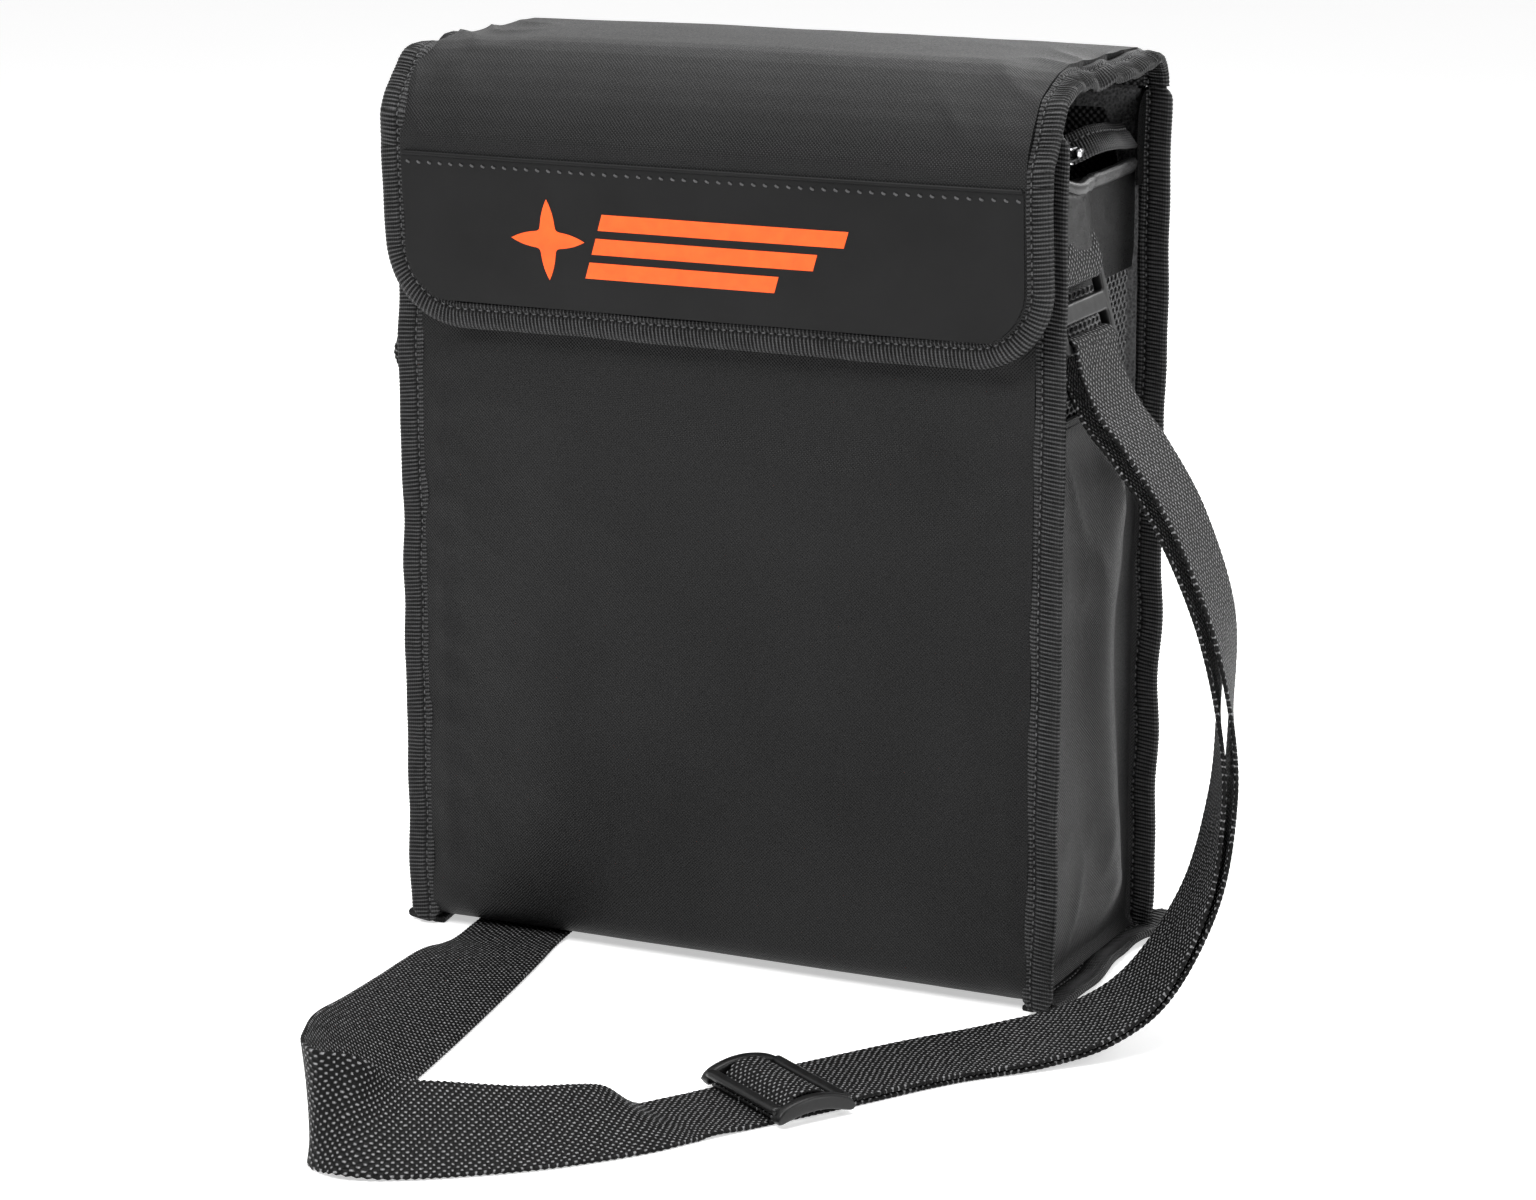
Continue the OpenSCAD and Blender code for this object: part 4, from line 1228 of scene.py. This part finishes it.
def print_shape(name, x, s):
    """A flat printed shape on the band, given as a grid of places."""
    outer = on_flap(x, s, -0.6 * MM)
    cloth = np.stack([x, s, 0 * x], -1)
    piece = shell(name, outer, 0.22 * MM, cloth, INK, (0, 0.2, 0.27))
    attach(piece, "flap_front")


def make_emblem(band_top, end):
    """A plain generic mark: a four-pointed star followed by three slanted stripes."""
    middle_s = (band_top + end) / 2 + 1.5 * MM
    star_x = -60.5 * MM
    star_r = 14.5 * MM
    waist = 0.34
    angle = np.linspace(0, math.tau, 97)[None]
    ring = np.linspace(0.02, 1, 14)[:, None]
    point = np.abs(((angle / (math.pi / 2)) + 0.5) % 1 - 0.5) * 2
    r = star_r * (waist + (1 - waist) * (1 - point) ** 2.2) * ring
    print_shape("printed_star", star_x + r * np.sin(angle), middle_s - r * np.cos(angle))
    slant, half_stripe, start = 0.32, 2.9, -42
    for number, (stop, rise) in enumerate(((52, -7.5), (43, 1.2), (31, 9.9))):
        t = np.linspace(0, 1, 80)[None]
        h = np.linspace(-half_stripe, half_stripe, 9)[:, None] * MM
        x = (start + (stop - start) * t) * MM - slant * (h + rise * MM)
        print_shape(f"printed_stripe_{number + 1}", x, middle_s + rise * MM + h + 0 * t)


# ---------------------------------------------------------------- closure strips


def make_closure():
    low, high = box("loop_strip")
    x = np.linspace(low[0], high[0], 200)
    z = np.linspace(low[2], high[2], 44)[:, None]
    rng = np.random.default_rng(5)
    edge = window(x, low[0], high[0], 1.5 * MM) * window(z, low[2], high[2], 1.5 * MM)
    pile = (0.35 * MM + 0.5 * MM * rng.random((len(z), len(x)))) * edge
    outer = as_points(x, high[1] - 0.7 * MM - pile, z)
    cloth = as_points(x, z, 0.0)
    loops = shell("loop_pile_strip", outer, 0.7 * MM, cloth, "hook_and_loop", (0, 0.1, 0.25))
    settle(loops, "case", "loop_strip")
    low, high = box("hook_strip")
    half = (high[0] - low[0]) / 2
    s_low = S_FOLD + (FOLD[2] - high[2]) / math.cos(FLAP_TILT)
    s_high = S_FOLD + (FOLD[2] - low[2]) / math.cos(FLAP_TILT)
    x = np.linspace(-half, half, 40)[None]
    s = np.linspace(s_low, s_high, 12)[:, None]
    (y, z), _, (oy, oz) = along_flap(s)
    outer = as_points(x, y - FLAP_T * oy, z - FLAP_T * oz)
    cloth = as_points(x, s, 0.0)
    base = shell("hook_base_strip", outer, 0.7 * MM, cloth, "hook_and_loop", (0, 0.2, 0.25))
    settle(base, "flap_front", "hook_strip")
    make_hooks(half, s_low, s_high)


def make_hooks(half, s_low, s_high):
    """Small bent hooks all over the strip under the flap."""
    pitch, edge = 1.5 * MM, 1 * MM
    columns = np.arange(-half + pitch, half - edge, pitch)
    hx, hs = np.meshgrid(columns, np.arange(s_low + pitch, s_high - edge, pitch))
    (y, z), _, (oy, oz) = along_flap(hs.ravel())
    depth = FLAP_T + 0.6 * MM
    root = as_points(hx.ravel(), y - depth * oy, z - depth * oz)
    lean = as_points(0.0, -oy, -oz)
    bend = np.linspace(0, 1, 5)[:, None]
    round_x, round_y = 0.13 * MM * circle(4).T
    hook = as_points(0.25 * MM * (1 - np.cos(bend * 2.6)) + round_x, round_y, 0.75 * MM * np.sin(bend * 2.2))
    axes = np.stack([np.tile([1.0, 0, 0], (len(root), 1)), np.cross(lean, [1.0, 0, 0]), lean], 1)
    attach(scatter("hook_field", hook, root, axes, "hook_and_loop"), "flap_front")


# ---------------------------------------------------------------- zipped top


def make_leaf(name, node, body, seed):
    low, high = box(node)
    x = np.linspace(low[0], high[0], 110)
    y = np.linspace(low[1], high[1], 24)[:, None]
    edge = window(x, low[0], high[0], 20 * MM) * window(y, low[1], high[1], 12 * MM)
    sag = (0.9 * MM * ripples(x, y, 50 * MM, seed) - 1.0 * MM) * edge
    outer = as_points(x, y, high[2] + sag)
    cloth = as_points(x, y, 0.0)
    leaf = shell(name, outer, high[2] - low[2] - 0.2 * MM, cloth, "lining_cloth", (0, 0, 0.1))
    settle(leaf, body, node)


def make_zip(name, x_low, x_high, side, body, z, node):
    """Tape and coil of one half of the zip, or of one half of its end."""
    tape_low, tape_high = 0.6 * MM, 9 * MM
    x = straight((x_low, 0, 0), (x_high, 0, 0), 0.7 * MM)[:, 0]
    y = side * np.linspace(tape_low, tape_high, 12)[:, None]
    outer = as_points(x, y, z + 0.8 * MM)
    cloth = as_points(y, x, 0.0)
    tape = shell(name + "_tape", outer, 0.6 * MM, cloth, "zip_tape", (0, 0, 0.1))
    settle(tape, body, node)
    pitch = 1.5 * MM
    turns = int((x_high - x_low - 1 * MM) / pitch)
    t = np.linspace(0, turns, turns * 12)
    angle = math.tau * t
    reach = 1.45 * MM
    wire = np.stack([
        x_low + 0.5 * MM + pitch * t + (0.5 if side > 0 else 0) * pitch,
        side * (1.1 * MM - reach * np.cos(angle) * 0.9),
        z + 1.9 * MM + 0.95 * MM * np.sin(angle),
    ], -1)
    across = np.tile([0.0, 0.0, 1.0], (len(wire), 1))
    coil = sweep(name + "_coil", wire, across + 0.3, 0.3 * MM * circle(6), "moulded_plastic")
    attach(coil, body)


def make_top():
    make_leaf("front_leaf_cloth", "front_leaf", "front_leaf", 91)
    make_leaf("rear_leaf_cloth", "rear_leaf", "rear_leaf", 95)
    low, high = box("front_zip_tape")
    make_zip("front_zip", low[0], high[0], -1, "front_leaf", low[2], "front_zip_tape")
    make_zip("rear_zip", low[0], high[0], 1, "rear_leaf", low[2], "rear_zip_tape")
    stop_size = (1.4 * MM, 5.2 * MM, 3.2 * MM)
    for side, word in SIDES:
        node = f"{word}_zip_end"
        low, high = box(node)
        for half, place in ((-1, "front"), (1, "rear")):
            make_zip(f"{node}_{place}", low[0] + 0.2 * MM, high[0] - 0.8 * MM, half, "case", low[2], node)
        stop_x = high[0] - stop_size[0] if side > 0 else low[0]
        corner = (stop_x, -stop_size[1] / 2, low[2] + 0.8 * MM)
        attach(rounded_block(f"{word}_zip_stop", [corner], stop_size, 0.4 * MM, "metal"), "case")
        make_zip_tab(side, word)


def make_zip_tab(side, word):
    """Ribbed tape folded over the end of the zip and sewn to the patch."""
    low, high = box(f"{word}_zip_tab")
    x_in = min(abs(low[0]), abs(high[0]))
    middle = (low[1] + high[1]) / 2
    rear = box("rear_leaf")[1][1]
    rows = [
        [x_in - (8 if side > 0 else 2) * MM, middle - 3 * MM, high[2] - 1.6 * MM],
        [x_in - (4 if side > 0 else 1.4) * MM, middle + 1 * MM, high[2] + 0.4 * MM],
        [x_in - 0.6 * MM, middle + 9 * MM, high[2] + 2.6 * MM],
        [x_in + 0.4 * MM, middle + 22 * MM, high[2] + 2.2 * MM],
        [x_in - 0.6 * MM, middle + 36 * MM, high[2] + 0.6 * MM],
        [x_in - 2.2 * MM, rear - 3 * MM, high[2] - 0.6 * MM],
    ]
    line = smooth_line(np.array(rows) * (side, 1, 1), RIB / 4)
    across = np.tile([side * 0.62, 0.0, -0.78], (len(line), 1))
    name, width, thick = f"{word}_zip_end_tape", 11 * MM, 1.5 * MM
    made = bound_edge(name, line, across, "case", width, thick, wobble=0.3 * MM, seed=3)
    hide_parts(f"{word}_zip_tab")


def rounded_block(name, lows, size, soft, finish, segments=3):
    """One piece of boxes with rounded edges, all of one size."""
    work = bmesh.new()
    for low in lows:
        cube = bmesh.ops.create_cube(work, size=1)
        for v in cube["verts"]:
            v.co = Vector(np.array(low) + (np.array(v.co) + 0.5) * size)
    bmesh.ops.bevel(work, geom=work.edges[:], offset=soft, segments=segments, affect="EDGES")
    return mesh_piece(name, work, finish)


def join(name, pieces, finish):
    """Several meshes as one piece."""
    work = bmesh.new()
    for piece in pieces:
        work.from_mesh(piece.data)
        bpy.data.objects.remove(piece)
    return mesh_piece(name, work, finish)


def make_zip_slider():
    low, high = box("zip_slider")
    middle = (low[0] + high[0]) / 2
    top = high[2] - 4.6 * MM
    outline = oval(high[0] - low[0], 8.6 * MM, 3.2 * MM)
    parts = [
        plate("zip_top_plate", outline, [], 1.1 * MM, (middle, 0, top + 0.5 * MM)),
        plate("zip_low_plate", outline, [], 1.0 * MM, (middle, 0, low[2] + 0.5 * MM)),
    ]
    corner = (low[0] + 8 * MM, -0.6 * MM, low[2] + 0.4 * MM)
    neck = rounded_block("zip_neck", [corner], (3 * MM, 1.2 * MM, top - low[2]), 0.25 * MM, "metal")
    pin_half, pin_z = 3 * MM, high[2] - 1.25 * MM
    pin = straight((middle, -pin_half, pin_z), (middle, pin_half, pin_z), 0.5 * MM)
    parts.append(sweep("zip_pin", pin, np.tile([1.0, 0, 0], (len(pin), 1)), 0.8 * MM * circle(12), "metal"))
    corners = [(middle - 1.5 * MM, y * MM, top + 0.6 * MM) for y in (-3, 2)]
    ears = rounded_block("zip_ears", corners, (3 * MM, 1 * MM, high[2] - top - 0.6 * MM), 0.3 * MM, "metal")
    settle(join("zip_slider_body", [*parts, neck, ears], "metal"), "zip_slider", "zip_slider")
    low, high = box("zip_puller")
    middle_z = (low[2] + high[2]) / 2
    length = high[0] - low[0]
    outline = oval(length, 5 * MM, 2.4 * MM)
    eye = oval(3.4 * MM, 2.2 * MM, 0.9 * MM) + (length / 2 - 2.3 * MM, 0)
    slot = oval(4.4 * MM, 1.6 * MM, 0.7 * MM) + (-length / 2 + 4.2 * MM, 0)
    tab = plate("zip_pull_tab", outline, [eye, slot], 1.1 * MM, ((low[0] + high[0]) / 2, 0, middle_z))
    settle(tab, "zip_puller", "zip_puller")


# ---------------------------------------------------------------- rings and strap slider


def oval(length, width, r, count=8):
    """Closed outline of a rectangle with round corners, in x and y."""
    made = []
    for sx, sy, start in ((1, 1, 0), (-1, 1, 90), (-1, -1, 180), (1, -1, 270)):
        for angle in np.radians(start + np.linspace(0, 90, count)):
            x, y = sx * (length / 2 - r), sy * (width / 2 - r)
            made.append((x + r * math.cos(angle), y + r * math.sin(angle)))
    return np.array(made)


def plate(name, outline, holes, thick, middle, axes=None, finish="metal", soft=None):
    """A flat plate with holes and rounded edges. axes gives the directions of its x, y and thickness."""
    soft = min(0.35 * thick, 0.6 * MM) if soft is None else soft
    data = bpy.data.curves.new(name, "CURVE")
    data.dimensions = "2D"
    data.fill_mode = "BOTH"
    data.extrude = thick / 2 - soft
    data.bevel_depth = soft
    data.bevel_resolution = 3
    data.offset = -soft
    for line in (outline, *holes):
        spline = data.splines.new("POLY")
        spline.points.add(len(line) - 1)
        spline.points.foreach_set("co", np.hstack([line, np.tile([0, 1], (len(line), 1))]).ravel())
        spline.use_cyclic_u = True
    curve = bpy.data.objects.new(name + "_outline", data)
    scene.collection.objects.link(curve)
    bpy.context.view_layer.update()
    mesh = bpy.data.meshes.new_from_object(curve.evaluated_get(bpy.context.evaluated_depsgraph_get()))
    bpy.data.objects.remove(curve)
    work = bmesh.new()
    work.from_mesh(mesh)
    bmesh.ops.remove_doubles(work, verts=work.verts, dist=0.004 * MM)
    axes = np.eye(3) if axes is None else np.array(axes)
    for v in work.verts:
        v.co = Vector(np.array(middle) + np.array(v.co) @ axes)
    return mesh_piece(name, work, finish)


def make_ring(side, word):
    pivot = np.array(joint(f"{word}_ring_swing")["pos_m"])
    down = np.array([side * math.sin(RING_LEAN), 0, -math.cos(RING_LEAN)])
    width = box(f"{word}_ring")[1][1] - box(f"{word}_ring")[0][1]
    bar, low_bar = 2 * MM, 24.2 * MM
    inner = STRAP_W + 2 * MM
    height = low_bar + 2 * bar
    middle = pivot + down * (low_bar / 2)
    axes = [(0, 1, 0), -down, np.cross((0, 1, 0), -down)]
    upper = oval(inner, 7 * MM, 1.2 * MM) + (0, low_bar / 2 - 2 * MM - 3.5 * MM)
    lower = oval(inner, 6.2 * MM, 1.2 * MM) + (0, low_bar / 2 - 16 * MM - 3.1 * MM)
    outline, soft = oval(width, height, 4.5 * MM), 1.1 * MM
    holes = [upper, lower]
    ring = plate(f"{word}_ring_frame", outline, holes, 4 * MM, middle, axes, "moulded_plastic", soft)
    settle(ring, f"{word}_ring", f"{word}_ring")
    turn = np.linspace(0, math.pi, 40)
    centre = pivot + down * low_bar
    out = np.array([side * math.cos(RING_LEAN), 0, math.sin(RING_LEAN)])
    loop_r = 3.0 * MM
    line = np.array([centre - down * loop_r * math.sin(a) + out * loop_r * math.cos(a) for a in turn])
    line = np.vstack([line[0] + down * 0.3 * MM, line, line[-1] + down * 0.3 * MM])
    line = smooth_line(line, 0.35 * MM)
    along = lengths(line)
    across = np.tile([0.0, -side, 0.0], (len(line), 1))
    loop = sweep(f"{word}_webbing_over_ring", line, across, webbing_section(along), "webbing", along)
    settle(loop, f"{word}_ring", f"{word}_strap_loop")
    make_strap_tab(side, word, pivot)


def make_strap_tab(side, word, pivot):
    """Webbing looped round the ring's top bar, its crumpled ends sewn to the side."""
    r = 3.3 * MM
    top = box(f"{word}_strap_tab")[1][2]
    rows = [
        (-r * 1.1, top - 0.5 * MM), (-r * 1.05, top - 6 * MM), (-r, pivot[2] + 3 * MM), (-r, pivot[2]),
        (-r * 0.7, pivot[2] - r * 0.75), (0, pivot[2] - r), (r * 0.7, pivot[2] - r * 0.75), (r, pivot[2]),
        (r * 0.95, pivot[2] + 3.5 * MM), (r * 0.6, pivot[2] + 7.5 * MM), (r * 0.1, pivot[2] + 11 * MM),
        (-r * 0.4, top - 1.6 * MM), (-r * 0.6, top + 0.3 * MM),
    ]
    line = np.array([(side * (abs(pivot[0]) + x), pivot[1], z) for x, z in rows])
    line = smooth_line(line, 0.4 * MM)
    along = lengths(line)
    across = np.tile([0.0, side, 0.0], (len(line), 1))
    section = webbing_section(along)
    crumple = smoothstep((line[:, 2] - pivot[2] - 4 * MM) / (9 * MM))[:, None]
    wave = 1.1 * MM * np.sin(section[..., 0] / STRAP_W * math.tau * 1.6 + 0.6) * crumple
    section[..., 1] += np.where(np.arange(len(line))[:, None] > len(line) / 2, wave, 0.2 * wave)
    section[..., 0] *= 1 - 0.1 * crumple
    tab = sweep(f"{word}_ring_tab", line, across, section, "webbing", along)
    settle(tab, "case", f"{word}_strap_tab")


def make_strap_slider():
    half_l, half_w, inner = 15 * MM, 24.5 * MM, 20 * MM
    up = np.array([0, 0, 1.0])
    parts = []
    corner = circle(24)
    corner = np.sign(corner) * np.abs(corner) ** 0.55
    t = np.linspace(-1, 1, 41)
    top, bottom = (9.3 - 3.6 * t**2) * MM, (3.9 - 3.4 * t**2) * MM
    end = np.sqrt((1 - t**12).clip(0.02))
    section = corner * np.stack([np.full(41, (half_w - inner) / 2), (top - bottom) / 2 * end], -1)[:, None]
    for side in (-1, 1):
        line = SLIDER_AT + t[:, None] * half_l * RUN + side * (half_w + inner) / 2 * ACROSS
        line = line + ((top + bottom) / 2)[:, None] * up
        across, rise = np.tile(ACROSS, (41, 1)), np.tile(up, (41, 1))
        parts.append(sweep("slider_rail", line, across, section, "moulded_plastic", up=rise))
    reach = (inner + 1.5 * MM) * ACROSS
    bars = ((-12.7, 4.6, 5.4, 2.6), (12.7, 4.6, 5.4, 2.6), (0, 7, 6.2, 2.5))
    for place, size, height, thick in bars:
        line = straight(SLIDER_AT - reach, SLIDER_AT + reach, 2 * MM)
        line = line + place * MM * RUN + height * MM * up
        across, slab = np.tile(RUN, (len(line), 1)), rounded_slab(size * MM, thick * MM, 5, 4)
        parts.append(sweep("slider_bar", line, across, slab, "moulded_plastic"))
    frame_piece = join("strap_slider_frame", parts, "moulded_plastic")
    settle(frame_piece, "strap_slider", "strap_slider")
    rows = [
        (13.5, 3.5), (10.2, 4.1), (7.2, 6.4), (4.2, 8.4), (0, 8.9),
        (-4.2, 8.4), (-7.2, 6.0), (-10.2, 3.2), (-14, 2.65),
    ]
    line = np.array([SLIDER_AT + a * MM * RUN + h * MM * up for a, h in rows])
    line = smooth_line(line, 0.5 * MM)
    along = lengths(line)
    across = np.tile(ACROSS, (len(line), 1))
    hump = sweep("webbing_over_slider", line, across, webbing_section(along), "webbing", along)
    settle(hump, "strap_slider", "strap_slider_webbing")
    return [frame_piece, hump]


# ---------------------------------------------------------------- build

make_camera()
make_lights()
straps = make_straps()
make_wrap()
make_inside()
make_side_bindings()
for side, word in SIDES:
    make_side(side, word)
make_flap()
make_closure()
make_top()
make_zip_slider()
for side, word in SIDES:
    make_ring(side, word)
slider_pieces = make_strap_slider()

corners = [(x * FLOOR_HALF, y * FLOOR_HALF, 0) for x, y in ((-1, -1), (1, -1), (1, 1), (-1, 1))]
floor = add_mesh("floor", corners, [(0, 1, 2, 3)], studio_floor("pale_floor"), closed=False)
